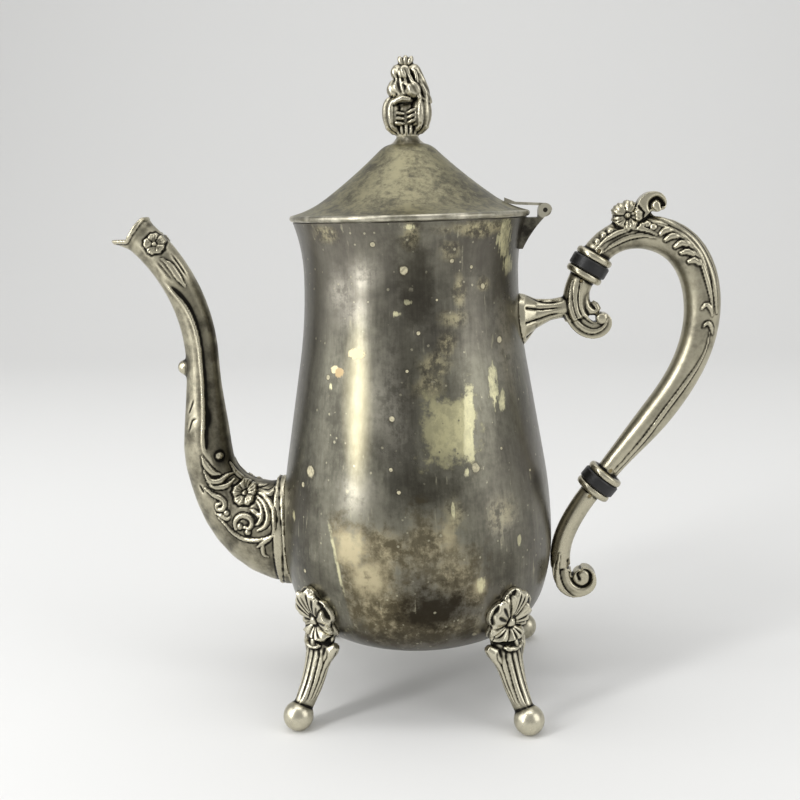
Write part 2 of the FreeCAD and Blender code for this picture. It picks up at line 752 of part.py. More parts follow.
class Joint:
    """Place and direction of one insulator, from its socket towards the grip."""

    def __init__(self, name, place, angle):
        self.name = name
        self.place = place
        self.angle = angle
        turn = math.radians(angle.value)
        self.at = Vector(place[0].value, 0, place[1].value)
        self.axis = Vector(math.cos(turn), 0, math.sin(turn))

    def point(self, distance):
        return self.at + self.axis * distance

    def face(self, side):
        """Middle of the flange's face on the grip's side (1) or the socket's (-1)."""
        return self.point(side * num.insulator_thickness / 2)

    def ring(self, side):
        """Turned ring with rounded edges, on one side of the flange."""
        blank = Part.makeCylinder(num.ring_radius, num.ring_thickness, self.face(side), self.axis * side)
        return blank.makeFillet(num.ring_round, [edge for edge in blank.Edges if edge.isClosed()])

    def bore(self, side):
        """Room for the flange, for the tenon and for its cross pin."""
        depth = num.tenon_length + num.tenon_clearance
        flange = Part.makeCylinder(num.insulator_radius * 2, num.insulator_thickness, self.face(-side),
                                   self.axis * side)
        socket = Part.makeCylinder(num.tenon_radius + num.tenon_clearance, depth, self.face(side),
                                   self.axis * side)
        middle = self.face(side) + self.axis * side * self.pin_depth()
        reach = Vector(0, num.ring_radius * 2, 0)
        cross = Part.makeCylinder(num.cross_pin_radius, reach.y * 2, middle - reach, Vector(0, 1, 0))
        return flange.fuse([socket, cross])

    def pin_depth(self):
        return (num.ring_thickness + num.tenon_length) / 2


upper = Joint("upper", upper_joint, dim.upper_joint_angle)
lower = Joint("lower", lower_joint, dim.lower_joint_angle)
pin_depth = dim.insulator_thickness / 2 + (dim.ring_thickness + dim.tenon_length) / 2


def make_insulator(joint):
    body = new_body(joint.name + "_insulator")
    half = dim.insulator_thickness / 2
    end = half + dim.tenon_length
    inside = dim.insulator_radius - dim.insulator_edge
    revolve(body, joint.name + "_turning", [
        (0, -end), (dim.tenon_radius, -end), (dim.tenon_radius, -half), (inside, -half),
        (dim.insulator_radius, dim.insulator_edge - half), (dim.insulator_radius, half - dim.insulator_edge),
        (inside, half), (dim.tenon_radius, half), (dim.tenon_radius, end), (0, end)])
    for side, height in (("socket", -pin_depth), ("grip", pin_depth)):
        name = f"{joint.name}_{side}_pin_hole"
        pocket(body, name, disc(body, name + "_circle", "XZ_Plane", (0, height), dim.cross_pin_radius),
               4 * dim.tenon_radius)
    body.Placement = Placement(Vector(), Rotation(Vector(0, 1, 0), 90 - joint.angle.value))
    bind(body, "Placement.Rotation.Angle", 90 - joint.angle)
    bind(body, "Placement.Base.x", joint.place[0])
    bind(body, "Placement.Base.z", joint.place[1])
    return keep(body, joint.name + "_insulator")


def make_cross_pins(joint, half_length):
    """Two pins, one through the tenon in the socket and one through the tenon in the grip."""
    pins = []
    for side, distance in (("socket", -pin_depth), ("grip", pin_depth)):
        pin = doc.addObject("Part::Cylinder", f"{joint.name}_{side}_pin")
        bind(pin, "Radius", dim.cross_pin_radius)
        bind(pin, "Height", 2 * half_length)
        pin.Placement = Placement(Vector(), Rotation(Vector(1, 0, 0), -90))
        bind(pin, "Placement.Base.x", joint.place[0] + distance * cos(joint.angle))
        bind(pin, "Placement.Base.y", -half_length)
        bind(pin, "Placement.Base.z", joint.place[1] + distance * sin(joint.angle))
        pins.append(pin)
    group = doc.addObject("Part::Compound", joint.name + "_pin_group")
    group.Links = pins
    doc.recompute()
    return keep(group, joint.name + "_insulator_pins")


for joint in (upper, lower):
    make_insulator(joint)
    make_cross_pins(joint, dim.grip_tail * dim.grip_side)


# Grip: a bowed casting between the joints, with a scroll on its crest

def grip_shape():
    start = upper.face(1)
    end = lower.face(1)
    reach = num.waist_radius + num.grip_reach
    path = spline([start, start + upper.axis * 3, start + Vector(13.4, 0, 9.9),
                   start + Vector(32.8, 0, 5.4), Vector(reach, 0, start.z - 21.5),
                   end + lower.axis * 46 - Vector(0.8, 0, 0), end + lower.axis * 20, end])
    depths = [(0, num.grip_neck), (0.3, num.grip_swell), (0.75, num.grip_taper), (1, num.grip_tail)]
    bar = cast_tube(along_spline(path, 37, lambda share: blend(depths, share), num.grip_side))
    eye = start + Vector(23.9, 0, 20.5)
    crest = volute(eye, 224, -262, (9.2, 3), (6, 2), num.crest_width)
    shape = bar.fuse([upper.ring(1), lower.ring(1), crest])
    return shape.cut(upper.bore(1).fuse(lower.bore(1)))


keep(feature_of(grip_shape(), "handle_grip"), "handle_grip")


# Sockets: the upper one on a flared arm, the lower one a swan neck, each ending in a scroll

def upper_socket_shape():
    root = body_radius(upper.at.z - 20)
    mouth = upper.face(-1)
    level = upper.at.z - 17
    post = spline([mouth, mouth - upper.axis * 3, Vector(root + 21.6, 0, level + 5),
                   Vector(root + 22.2, 0, level - 3.5)])
    column = cast_tube(along_spline(post, 11, lambda share: num.socket_post, 0.95))
    outward = Vector(1, 0, 0)
    arm = cast_tube([
        (Vector(root - 6, 0, level - 4.2), outward, num.arm_flare_height + 1.5, num.arm_flare_side + 1),
        (Vector(root + 1.5, 0, level - 3.7), outward, num.arm_flare_height - 0.6, num.arm_flare_side),
        (Vector(root + 6, 0, level - 1.6), outward, num.arm_radius + 1.7, num.arm_radius + 1),
        (Vector(root + 12, 0, level), outward, num.arm_radius, num.arm_radius),
        (Vector(root + 20, 0, level + 1.5), outward, num.arm_radius, num.arm_radius)])
    eye = Vector(root + 31.4, 0, level - 3.7)
    scroll = volute(eye, 165, 262, (15, 2.4), (9.5, 1.4), num.socket_scroll_width)
    shape = column.fuse([arm, scroll, upper.ring(-1)])
    return shape.cut(pot_form).cut(upper.bore(-1))


def lower_socket_shape():
    root = num.belly_radius
    mouth = lower.face(-1)
    foot = lower.at.z - 36
    path = spline([mouth, mouth - lower.axis * 4, Vector(root + 9, 0, foot + 21),
                   Vector(root + 4.5, 0, foot + 10), Vector(root + 3.9, 0, foot)])
    neck = cast_tube(along_spline(path, 17, lambda share: num.lower_neck, 1))
    eye = Vector(root + 12.4, 0, foot - 4.3)
    scroll = volute(eye, 147, 303, (13.2, 4.2), (8.3, 2.2), num.socket_scroll_width)
    shape = neck.fuse([scroll, lower.ring(-1)])
    return shape.cut(pot_form).cut(lower.bore(-1))


keep(feature_of(upper_socket_shape(), "upper_socket"), "upper_socket")
keep(feature_of(lower_socket_shape(), "lower_socket"), "lower_socket")


# Feet: one casting used four times, made pointing to +X and turned to its place

def foot_shape():
    toe_x = num.belly_radius + num.toe_offset
    toe_z = math.sqrt(num.toe_radius ** 2 - num.toe_pad_radius ** 2)
    toe = Part.makeSphere(num.toe_radius, Vector(toe_x, 0, toe_z))
    knee_x = body_radius(num.knee_height) - 3
    path = spline([Vector(knee_x, 0, num.knee_height - 4), Vector(knee_x + 3, 0, num.knee_height - 17),
                   Vector(toe_x - 6.6, 0, toe_z + 10.5), Vector(toe_x - 0.5, 0, toe_z + 1)])
    sides = [(0, num.leg_top_side), (1, num.leg_bottom_side)]
    stations = along_spline(path, 13, lambda share: num.leg_depth, 1)
    leg = cast_tube([(at, along, depth, blend(sides, number / 12))
                     for number, (at, along, depth, side) in enumerate(stations)])
    petals = []
    for number in range(int(num.petal_count)):
        angle = math.radians(90 + number * 360 / num.petal_count)
        middle = Vector(0, num.petal_orbit * math.cos(angle),
                        num.knee_height + num.petal_orbit * math.sin(angle))
        petals.append(Part.makeCylinder(num.petal_radius, num.belly_radius * 2, middle, Vector(1, 0, 0)))
    flower = petals[0].fuse(petals[1:])
    swollen = turned_solid(POT_CORNERS, POT_RADII, num.petal_proud)
    knee = swollen.common(flower)
    below = Part.makeBox(400, 400, 50, Vector(-200, -200, -50))
    return leg.fuse([toe, knee]).cut(pot_form).cut(below)


foot = foot_shape()
for label, quarter in (("foot_rear_right", 0), ("foot_rear_left", 1),
                       ("foot_front_left", 2), ("foot_front_right", 3)):
    item = keep(feature_of(foot, label), label)
    item.Placement.Rotation = Rotation(Vector(0, 0, 1), num.foot_azimuth + 90 * quarter)


# Check every object, then write one file for each sub-part

doc.recompute()
failed = [item.Name for item in doc.Objects if {"Invalid", "Error"} & set(item.State)]
if failed:
    raise RuntimeError(f"failed objects: {failed}")
for item in sub_parts:
    if item.Shape.isNull() or not item.Shape.isValid():
        raise RuntimeError(f"bad shape: {item.Label}")
os.makedirs("parts", exist_ok=True)
for item in sub_parts:
    item.Shape.exportStep(f"parts/{item.Label}.step")
    print(item.Label, len(item.Shape.Solids), round(item.Shape.Volume, 1))
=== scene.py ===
import math

import bmesh
import bpy
import numpy as np
from mathutils import Matrix, Vector


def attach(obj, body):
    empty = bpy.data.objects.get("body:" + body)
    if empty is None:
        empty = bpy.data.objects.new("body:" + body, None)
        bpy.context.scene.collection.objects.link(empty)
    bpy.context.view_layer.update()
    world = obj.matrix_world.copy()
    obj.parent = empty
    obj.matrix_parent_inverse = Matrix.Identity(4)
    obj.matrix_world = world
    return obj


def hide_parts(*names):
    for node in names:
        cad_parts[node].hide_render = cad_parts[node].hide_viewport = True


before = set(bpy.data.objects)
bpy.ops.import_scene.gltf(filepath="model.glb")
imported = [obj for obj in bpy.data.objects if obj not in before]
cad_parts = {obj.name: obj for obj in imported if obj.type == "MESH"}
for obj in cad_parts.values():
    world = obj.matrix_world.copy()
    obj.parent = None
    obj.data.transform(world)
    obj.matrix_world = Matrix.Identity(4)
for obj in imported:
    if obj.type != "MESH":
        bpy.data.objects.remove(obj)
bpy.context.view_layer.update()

# Sizes in this file are millimetres unless they are handed to Blender
MM = 0.001
# The belly's radius and the middle of the hinge pin, as in the CAD
BELLY_RADIUS = 55.3
HINGE_PIN = (52.8, 0, 197)


# Even skins over castings, and the arrays that chasing works on

def linked(name, data):
    piece = bpy.data.objects.new(name, data)
    bpy.context.scene.collection.objects.link(piece)
    return piece


def even_skin(name, solids, voxel):
    """One closed piece over overlapping closed meshes, in small even faces."""
    joined = bmesh.new()
    for solid in solids:
        joined.from_mesh(solid)
    bmesh.ops.remove_doubles(joined, verts=joined.verts, dist=1e-6)
    rough = bpy.data.meshes.new(name)
    joined.to_mesh(rough)
    joined.free()
    piece = linked(name, rough)
    skin = piece.modifiers.new("skin", "REMESH")
    skin.mode = "VOXEL"
    skin.voxel_size = voxel * MM
    ready = piece.evaluated_get(bpy.context.evaluated_depsgraph_get())
    piece.data = bpy.data.meshes.new_from_object(ready)
    piece.modifiers.clear()
    piece.data.shade_smooth()
    return piece


def smooth_step(value, low, high):
    share = np.clip((value - low) / (high - low), 0, 1)
    return share * share * (3 - 2 * share)


class Chasing:
    """The surface of a casting while lines and flowers are raised on it or cut into it."""

    def __init__(self, piece):
        self.mesh = piece.data
        edges = np.empty(len(self.mesh.edges) * 2, dtype=np.int64)
        self.mesh.edges.foreach_get("vertices", edges)
        self.edges = edges.reshape(-1, 2)
        self.count = len(self.mesh.vertices)
        self.degree = np.maximum(np.bincount(edges, minlength=self.count), 1)
        self.read()

    def read(self):
        flat = np.empty(self.count * 3)
        self.mesh.vertices.foreach_get("co", flat)
        self.points = flat.reshape(-1, 3) / MM
        normals = np.empty(self.count * 3, dtype=np.float32)
        self.mesh.vertex_normals.foreach_get("vector", normals)
        self.normals = normals.reshape(-1, 3).astype(float)

    def even_out(self, values, rounds):
        """Values averaged with their neighbours, a few times over."""
        first, second = self.edges.T
        columns = values.reshape(self.count, -1).T.copy()
        for _ in range(rounds):
            for number, column in enumerate(columns):
                total = np.bincount(first, column[second], self.count)
                total += np.bincount(second, column[first], self.count)
                columns[number] = (column + total / self.degree) / 2
        return columns.T.reshape(values.shape)

    def move(self, heights):
        """Push the surface out, or in, by a height at each point."""
        self.place(self.points + self.normals * heights[:, None])

    def place(self, points):
        self.mesh.vertices.foreach_set("co", (points * MM).ravel())
        self.mesh.update()
        self.read()

    def relax(self, share, rounds):
        """Take small kinks out of the skin where share is 1, and leave its size as it is."""
        shift = self.even_out(self.points, rounds) - self.points
        shift -= self.even_out(shift, rounds)
        self.place(self.points + shift * share[:, None])

    def side(self, low=0.15, high=0.5):
        """1 where the outer skin faces to the left or right, 0 on its edges and inside it."""
        return smooth_step(self.normals[:, 1] * np.sign(self.points[:, 1]), low, high)

    def note_wear_and_light(self, close=5, wide=40, tone=0.0):
        """Keep how far each point stands out of its surroundings, for tarnish in hollows, rubbing, and
        painted glints and shade.

        The tone is added: above 0 where hands rub the piece, below 0 where tarnish stays, and where shade
        is painted in.
        """
        near = ((self.points - self.even_out(self.points, close)) * self.normals).sum(1)
        far = ((self.points - self.even_out(self.points, wide)) * self.normals).sum(1)
        wear_and_light = np.clip(0.5 + 6 * near + 0.9 * far + tone, 0, 1)
        kept = self.mesh.attributes.new("wear_and_light", "FLOAT", "POINT")
        kept.data.foreach_set("value", self.even_out(wear_and_light, 1).astype(np.float32))


class Relief:
    """Heights over a flat drawing, to which chased lines and flowers are added."""

    def __init__(self, across, up):
        self.at = np.stack([across, up], axis=1)
        self.raised = np.zeros(len(across))
        self.cut = np.zeros(len(across))

    def nearest(self, line, reach):
        """Distance to a smooth line, share along it and side of it, for points within reach."""
        knots = np.array(line, dtype=float)
        padded = np.vstack([2 * knots[0] - knots[1], knots, 2 * knots[-1] - knots[-2]])
        steps = np.linspace(0, 1, 7)[:-1, None]
        runs = []
        for a, b, c, d in zip(padded, padded[1:], padded[2:], padded[3:]):
            runs.append(0.5 * (2 * b + (c - a) * steps + (2 * a - 5 * b + 4 * c - d) * steps ** 2
                               + (3 * b - a - 3 * c + d) * steps ** 3))
        path = np.vstack(runs + [knots[-1:]])
        low, high = path.min(0) - reach, path.max(0) + reach
        chosen = np.flatnonzero(((self.at > low) & (self.at < high)).all(1))
        places = self.at[chosen]
        best = np.full(len(places), 1e9)
        share = np.zeros(len(places))
        side = np.zeros(len(places))
        lengths = np.linalg.norm(np.diff(path, axis=0), axis=1)
        ends = np.concatenate([[0], np.cumsum(lengths)]) / lengths.sum()
        for number, (start, end) in enumerate(zip(path, path[1:])):
            run = end - start
            offset = places - start
            step = np.clip(offset @ run / (run @ run), 0, 1)
            gap = np.linalg.norm(offset - step[:, None] * run, axis=1)
            closer = gap < best
            best[closer] = gap[closer]
            share[closer] = (ends[number] + (ends[number + 1] - ends[number]) * step)[closer]
            side[closer] = np.sign(run[0] * offset[:, 1] - run[1] * offset[:, 0])[closer]
        return chosen, best, share, side

    def ridge(self, line, width, height, ends=(0.35, 0.35)):
        """Rounded raised line, thinner at its ends, with a cut along both its sides."""
        chosen, gap, share, _ = self.nearest(line, width * 2)
        swell = ends[0] + (1 - ends[0]) * smooth_step(share, 0, 0.35)
        swell *= ends[1] + (1 - ends[1]) * smooth_step(1 - share, 0, 0.35)
        spread = gap / (width * swell)
        crown = height * np.sqrt(swell) * np.sqrt(np.clip(1 - spread ** 2, 0, 1))
        self.raised[chosen] = np.maximum(self.raised[chosen], crown)
        moat = 0.3 * height * np.exp(-((spread - 1.25) / 0.25) ** 2)
        self.cut[chosen] = np.maximum(self.cut[chosen], moat)

    def groove(self, line, width, depth, ends=(0.1, 0.1)):
        chosen, gap, share, _ = self.nearest(line, width * 2)
        swell = ends[0] + (1 - ends[0]) * smooth_step(share, 0, 0.3)
        swell *= ends[1] + (1 - ends[1]) * smooth_step(1 - share, 0, 0.3)
        cut = depth * swell * np.exp(-(gap / (0.6 * width)) ** 2)
        self.cut[chosen] = np.maximum(self.cut[chosen], cut)

    def fold(self, line, width, depth, bead, ends=(0.12, 0.12)):
        """Leaf edge: a bead on the line and a hollow that runs out to the line's right."""
        chosen, gap, share, side = self.nearest(line, width * 2.5)
        swell = smooth_step(share, 0, ends[0]) * smooth_step(1 - share, 0, ends[1])
        hollow = depth * np.exp(-(gap / width) ** 2) * smooth_step(-side * gap, 0, 0.7)
        rise = bead * np.exp(-(gap / 0.8) ** 2)
        self.cut[chosen] = np.maximum(self.cut[chosen], hollow * swell)
        self.raised[chosen] = np.maximum(self.raised[chosen], rise * swell)

    def ball(self, middle, radius, height):
        gap = np.linalg.norm(self.at - np.array(middle), axis=1) / radius
        self.raised = np.maximum(self.raised, height * np.sqrt(np.clip(1 - gap ** 2, 0, 1)))

    def flower(self, middle, reach, height, petals=5, turn=90.0):
        """Open flower with veined, cupped petals, each lapping over the next, and a boss.

        The reach is how far it spreads sideways, upwards and downwards.
        """
        offset = self.at - np.array(middle)
        offset[:, 0] /= reach[0]
        offset[:, 1] /= np.where(offset[:, 1] > 0, reach[1], reach[2])
        out = np.linalg.norm(offset, axis=1)
        near = out < 1.3
        out = out[near]
        angle = np.degrees(np.arctan2(offset[near, 1], offset[near, 0])) - turn
        lap = (angle / 360 * petals + 0.5) % 1
        from_middle = np.abs(lap - 0.5) * 2
        ruffle = 0.035 * np.cos(lap * 2 * np.pi * 3)
        share = out / (0.80 + 0.20 * np.sqrt(np.clip(1 - from_middle ** 2, 0, 1)) + ruffle)
        cup = 0.25 + 0.75 * smooth_step(share, 0.12, 0.88)
        veins = 0.13 * np.cos(lap * 2 * np.pi * 4) * smooth_step(share, 0.2, 0.5)
        body = height * (cup * (0.55 + 0.45 * lap) + veins) * smooth_step(1 - share, 0, 0.10)
        seams = height * 0.7 * np.exp(-((1 - from_middle) / 0.13) ** 2) * smooth_step(share, 0.15, 0.4)
        boss = height * 0.8 * np.sqrt(np.clip(1 - (out / 0.17) ** 2, 0, 1))
        inside = share < 1
        shape = np.where(inside, np.maximum(body - seams, 0), 0)
        self.raised[near] = np.maximum(self.raised[near] * ~inside, np.maximum(shape, boss))
        moat = 0.24 * height * np.exp(-((share - 1.08) / 0.09) ** 2)
        moat += 0.2 * height * np.exp(-((out - 0.23) / 0.05) ** 2)
        self.cut[near] = np.maximum(self.cut[near] * ~inside, moat)

    def heights(self):
        return self.raised - self.cut


# Finishes: one class for a socket, one for a material that is being made

class Channel:
    """A value in a finish; arithmetic on it adds Math nodes."""

    def __init__(self, finish, socket):
        self.finish = finish
        self.socket = socket

    def __add__(self, other):
        return self.finish.math("ADD", self, other)

    def __sub__(self, other):
        return self.finish.math("SUBTRACT", self, other)

    def __mul__(self, other):
        return self.finish.math("MULTIPLY", self, other)

    def __truediv__(self, other):
        return self.finish.math("DIVIDE", self, other)

    def __radd__(self, other):
        return self.finish.math("ADD", other, self)

    def __rsub__(self, other):
        return self.finish.math("SUBTRACT", other, self)

    def __rmul__(self, other):
        return self.finish.math("MULTIPLY", other, self)


class Finish:
    """A material made of a Principled shader and the nodes that feed it."""

    def __init__(self, name, **constants):
        self.material = bpy.data.materials.new(name)
        self.material.use_nodes = True
        self.tree = self.material.node_tree
        self.tree.nodes.clear()
        self.shader = self.tree.nodes.new("ShaderNodeBsdfPrincipled")
        output = self.tree.nodes.new("ShaderNodeOutputMaterial")
        self.tree.links.new(self.shader.outputs["BSDF"], output.inputs["Surface"])
        for socket, value in constants.items():
            self.shader.inputs[socket.replace("_", " ")].default_value = value
        place = self.tree.nodes.new("ShaderNodeTexCoord")
        self.place = Channel(self, place.outputs["Object"])

    def put(self, socket, value):
        if isinstance(value, Channel):
            self.tree.links.new(value.socket, socket)
        else:
            socket.default_value = value

    def feed(self, socket, value):
        """Drive one of the shader's own sockets."""
        self.put(self.shader.inputs[socket], value)

    def node(self, kind, settings, sockets, output=0):
        """Any node: its type, its settings, then the values or links of its sockets."""
        made = self.tree.nodes.new(kind)
        for name, value in settings.items():
            setattr(made, name, value)
        for name, value in sockets.items():
            self.put(made.inputs[name], value)
        return Channel(self, made.outputs[output])

    def math(self, operation, *values):
        return self.node("ShaderNodeMath", {"operation": operation}, dict(enumerate(values)))

    def most(self, first, second):
        return self.math("MAXIMUM", first, second)

    def vector(self, operation, first, second, output=0):
        return self.node("ShaderNodeVectorMath", {"operation": operation}, {0: first, 1: second}, output)

    def mix(self, share, first, second):
        """Colour between two colours."""
        ends = [(*end, 1) if isinstance(end, tuple) else end for end in (first, second)]
        return self.node("ShaderNodeMix", {"data_type": "RGBA"}, {0: share, 6: ends[0], 7: ends[1]}, 2)

    def step(self, value, low, high):
        """0 below low, 1 above high, smooth between."""
        return self.node("ShaderNodeMapRange", {"interpolation_type": "SMOOTHSTEP"},
                         {"Value": value, "From Min": low, "From Max": high})

    def stretched(self, x, y, z):
        return self.vector("MULTIPLY", self.place, (x, y, z))

    def noise(self, scale, detail=4.0, rough=0.55, place=None, warp=0.0):
        """Cloudy pattern from 0 to 1; scale is in features per metre."""
        return self.node("ShaderNodeTexNoise", {}, {
            "Vector": place or self.place, "Scale": scale, "Detail": detail, "Roughness": rough,
            "Distortion": warp})

    def cells(self, scale):
        """Distance to the nearest of scattered points."""
        return self.node("ShaderNodeTexVoronoi", {}, {
            "Vector": self.place, "Scale": scale, "Randomness": 1.0})

    def bump(self, height, strength, distance):
        return self.node("ShaderNodeBump", {}, {
            "Strength": strength, "Distance": distance, "Height": height})

    def offset(self, middle, sizes):
        """Way from a place, as a share of sizes along the axes."""
        way = self.vector("SUBTRACT", self.place, tuple(MM * v for v in middle))
        return self.vector("DIVIDE", way, tuple(MM * v for v in sizes))

    def patch(self, middle, radii):
        """Distance from a place as a share of radii along the axes, 1 at the patch's edge."""
        return self.vector("LENGTH", self.offset(middle, radii), (0, 0, 0), 1)

    def block(self, middle, halves):
        """Like a patch, with straight sides seen along Y."""
        share = self.vector("ABSOLUTE", self.offset(middle, halves), (0, 0, 0))
        sides = [self.node("ShaderNodeSeparateXYZ", {}, {0: share}, axis) for axis in range(3)]
        return self.most(self.most(sides[0], sides[1]), sides[2])

    def along(self, axis):
        """Place along one axis, in millimetres."""
        return self.node("ShaderNodeSeparateXYZ", {}, {0: self.place}, axis) / MM

    def highest(self, areas, fray, low, high):
        """Strongest of many areas, each a middle, radii and at times a strength, with frayed edges."""
        found = None
        for middle, radii, *strength in areas:
            radii = radii if isinstance(radii, tuple) else (radii,) * 3
            near = 1 - self.step(self.patch(middle, radii) + fray, low, high)
            if strength:
                near = near * strength[0]
            found = near if found is None else self.most(found, near)
        return found

    def shade(self, *nodes):
        """Give the finish to CAD nodes that stay in view."""
        for node in nodes:
            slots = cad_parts[node].data.materials
            slots.clear()
            slots.append(self.material)


# Colours of bare plate, marks and tarnish, also used for the painted dark reflection and highlight tint on
# the body
PALE = (0.46, 0.43, 0.31)
CREAM = (0.58, 0.53, 0.36)
BUTTER = (0.84, 0.74, 0.46)
RUST = (0.56, 0.42, 0.23)
SOOT = (0.012, 0.011, 0.009)
UMBER = (0.092, 0.087, 0.069)
SLATE = (0.235, 0.226, 0.176)
PLUM = (0.150, 0.135, 0.118)
PEAT = (0.062, 0.051, 0.033)
MURK = (0.026, 0.021, 0.014)
STRAW = (0.500, 0.450, 0.280)
HAZE = (0.420, 0.395, 0.330)
BROWN = (0.118, 0.098, 0.058)
TAN = (0.540, 0.470, 0.300)
OLIVE = (0.560, 0.525, 0.310)
GILT = (0.780, 0.740, 0.470)

# Areas of the body where the tarnish is thin, as middle, radii along the axes and strength
THIN = [
    ((17.5, -51, 88), (5, 10, 8), 0.7), ((20.4, -37, 169), (2.6, 7, 8), 0.75),
    ((17.7, -39, 160), (6, 8, 4), 0.7), ((29, -31, 171), (3, 6, 3), 0.8),
    ((16, -41, 150), (4, 7, 5), 0.9), ((11, -43, 143), (7, 9, 6), 0.9), ((9, -45, 136), (8, 9, 6), 0.85),
    ((17.5, -39.5, 184), (5, 8, 5), 0.6), ((3.8, -44, 190), (4, 8, 6), 0.85),
    ((28, -34, 191.5), (18, 16, 3.6), 1.0), ((-28, -34, 191), (8, 9, 4), 0.7),
    ((20, -46, 45), (9, 12, 5), 0.5), ((35.5, -41, 86), (8, 14, 8), 0.55),
    ((10, 54, 80), (22, 20, 24), 0.9), ((-20, 45, 125), (10, 16, 14), 0.7),
    ((25, 36, 168), (12, 14, 9), 0.6),
]
# Areas clouded paler than the grey round them
HAZY = [
    ((-24, -36, 170), (8, 10, 10), 0.9), ((-14, -40, 176), (9, 9, 7), 0.8),
    ((-20, -39, 162), (9, 10, 7), 0.6), ((35.5, -41, 85), (10, 14, 10), 0.8),
    ((-18, -48, 96), (11, 14, 10), 0.6), ((38, -26, 150), (9, 14, 26), 0.75),
    ((-5, -47, 130), (10, 12, 28), 0.6), ((-5, 47, 140), (16, 12, 30), 0.5),
]
# Upright band of the front where the key lamp's highlight falls, a little yellowed and paler: thin tarnish,
# with a painted highlight tint
YELLOWED_HIGHLIGHT_BAND = ((-17.5, -44, 128), (7, 18, 38))
# Areas low on the front worn to brown, and the palest places among them
BROWNED = [
    ((-21, -51, 75), (13, 18, 13), 1.0), ((-8, -54, 76), (14, 18, 13), 0.95),
    ((9, -53, 79), (13, 18, 13), 0.85), ((-14, -53, 63), (17, 18, 15), 0.95),
    ((-10, -53, 52), (19, 18, 16), 0.95), ((-2, -50, 44), (26, 20, 11), 0.85),
    ((17, -52, 68), (12, 14, 13), 0.8), ((25, -48, 59), (6, 12, 7), 0.8),
]
TANNED = [
    ((-21, -50.5, 76), (9, 14, 9), 1.0), ((-14, -53, 66), (8, 12, 9), 0.8),
    ((16.5, -51, 84), (4, 10, 9), 0.8), ((27, -47.5, 61), (3, 8, 4), 1.0),
]
# Scraped line at the left of the brown: its X at a height Z, and its lean
SCRAPED_LINE = (-26.6, 70, 0.19)
# Areas rubbed down to bright metal, as middle and radii
RUBBED = [
    ((37.0, -22, 187.5), (3.0, 10, 9)), ((38.0, -19, 177.5), (2.4, 8, 4)),
    ((32.0, -32, 137), (1.6, 9, 5.5)), ((32.6, -33, 131), (1.7, 9, 5)), ((35.6, -31, 128), (1.2, 8, 4.5)),
    ((17.5, -51, 91), (0.6, 6, 4)), ((-45.8, -30, 82), (1.0, 4, 2.4)), ((41.6, -36, 74.3), (0.6, 4, 2.2)),
    ((22.6, -46, 104), (0.9, 4, 1.5)), ((2.2, -42.5, 166), (1.6, 5, 1.0)),
    ((-2.1, -42.7, 162), (1.7, 5, 1.3)), ((-28.1, -36.6, 134.6), (0.7, 4, 1.4)),
    ((27, -47.5, 61), (1.6, 8, 3.0)), ((3.0, -45, 192.8), (2.4, 6, 1.3)),
]
# Patch rubbed with straight sides, and the brighter strip along its side: middle and half sizes
WORN_PATCH = ((16.2, -44, 120), (9.6, 40, 13.8))
WORN_STRIP = ((23.4, -42, 121.5), (1.9, 40, 14.0))
# Areas where the tarnish is thick and dark, as middle, radii and strength; the two upright areas down the
# middle of the front are also a painted dark reflection
THICK_AND_DARK_BAND = [
    ((9, -54, 53), (16, 24, 12), 0.95), ((6, -44, 41), (26, 20, 6), 0.6),
    ((-41, -34, 82), (10, 18, 24), 0.5), ((5, -44, 174), (8, 14, 24), 0.55),
    ((10, -51, 100), (13, 16, 8), 0.45), ((2, -46, 142), (6, 12, 20), 0.35),
    ((-36, -44, 60), (10, 12, 12), 0.4), ((36, -42, 66), (9, 12, 9), 0.3),
]
# Round marks where the tarnish has lifted, as middle and radius
LIFTED = [
    ((-37.4, -36.0, 101.6), 2.7), ((1, -42.5, 177.6), 1.7), ((25.6, -44.3, 105), 2.0),
    ((-40.9, -33.4, 95.8), 1.2), ((12.5, -40.7, 166.6), 0.6), ((-4.3, -47.7, 124.5), 1.2),
    ((-4.9, -50.8, 106.2), 0.9), ((-2.1, -52.5, 98), 0.8), ((34.9, -26.6, 150), 1.5),
    ((18, -38.7, 180.3), 0.9), ((24.9, -34.4, 177.8), 0.7), ((29.0, -31, 170.4), 1.2),
    ((-29.2, -35.1, 137.8), 1.1), ((5.7, -42.9, 154.9), 0.9), ((-10, -42.6, 187), 1.0),
    ((35.1, -36, 110.4), 0.6), ((-41.1, -36.7, 62.1), 0.9), ((1.4, -45, 141.4), 0.6),
    ((46, -24.8, 99), 0.7),
]
# The largest marks, two of them cream and one turned to rust
CREAMY = [((-17.4, -40.7, 147.2), (3.6, 6, 2.1)), ((-26.2, -37, 141), (2.1, 5, 1.7))]
RUSTED = [((-24.4, -37.8, 140.1), (2.2, 5, 2.3))]


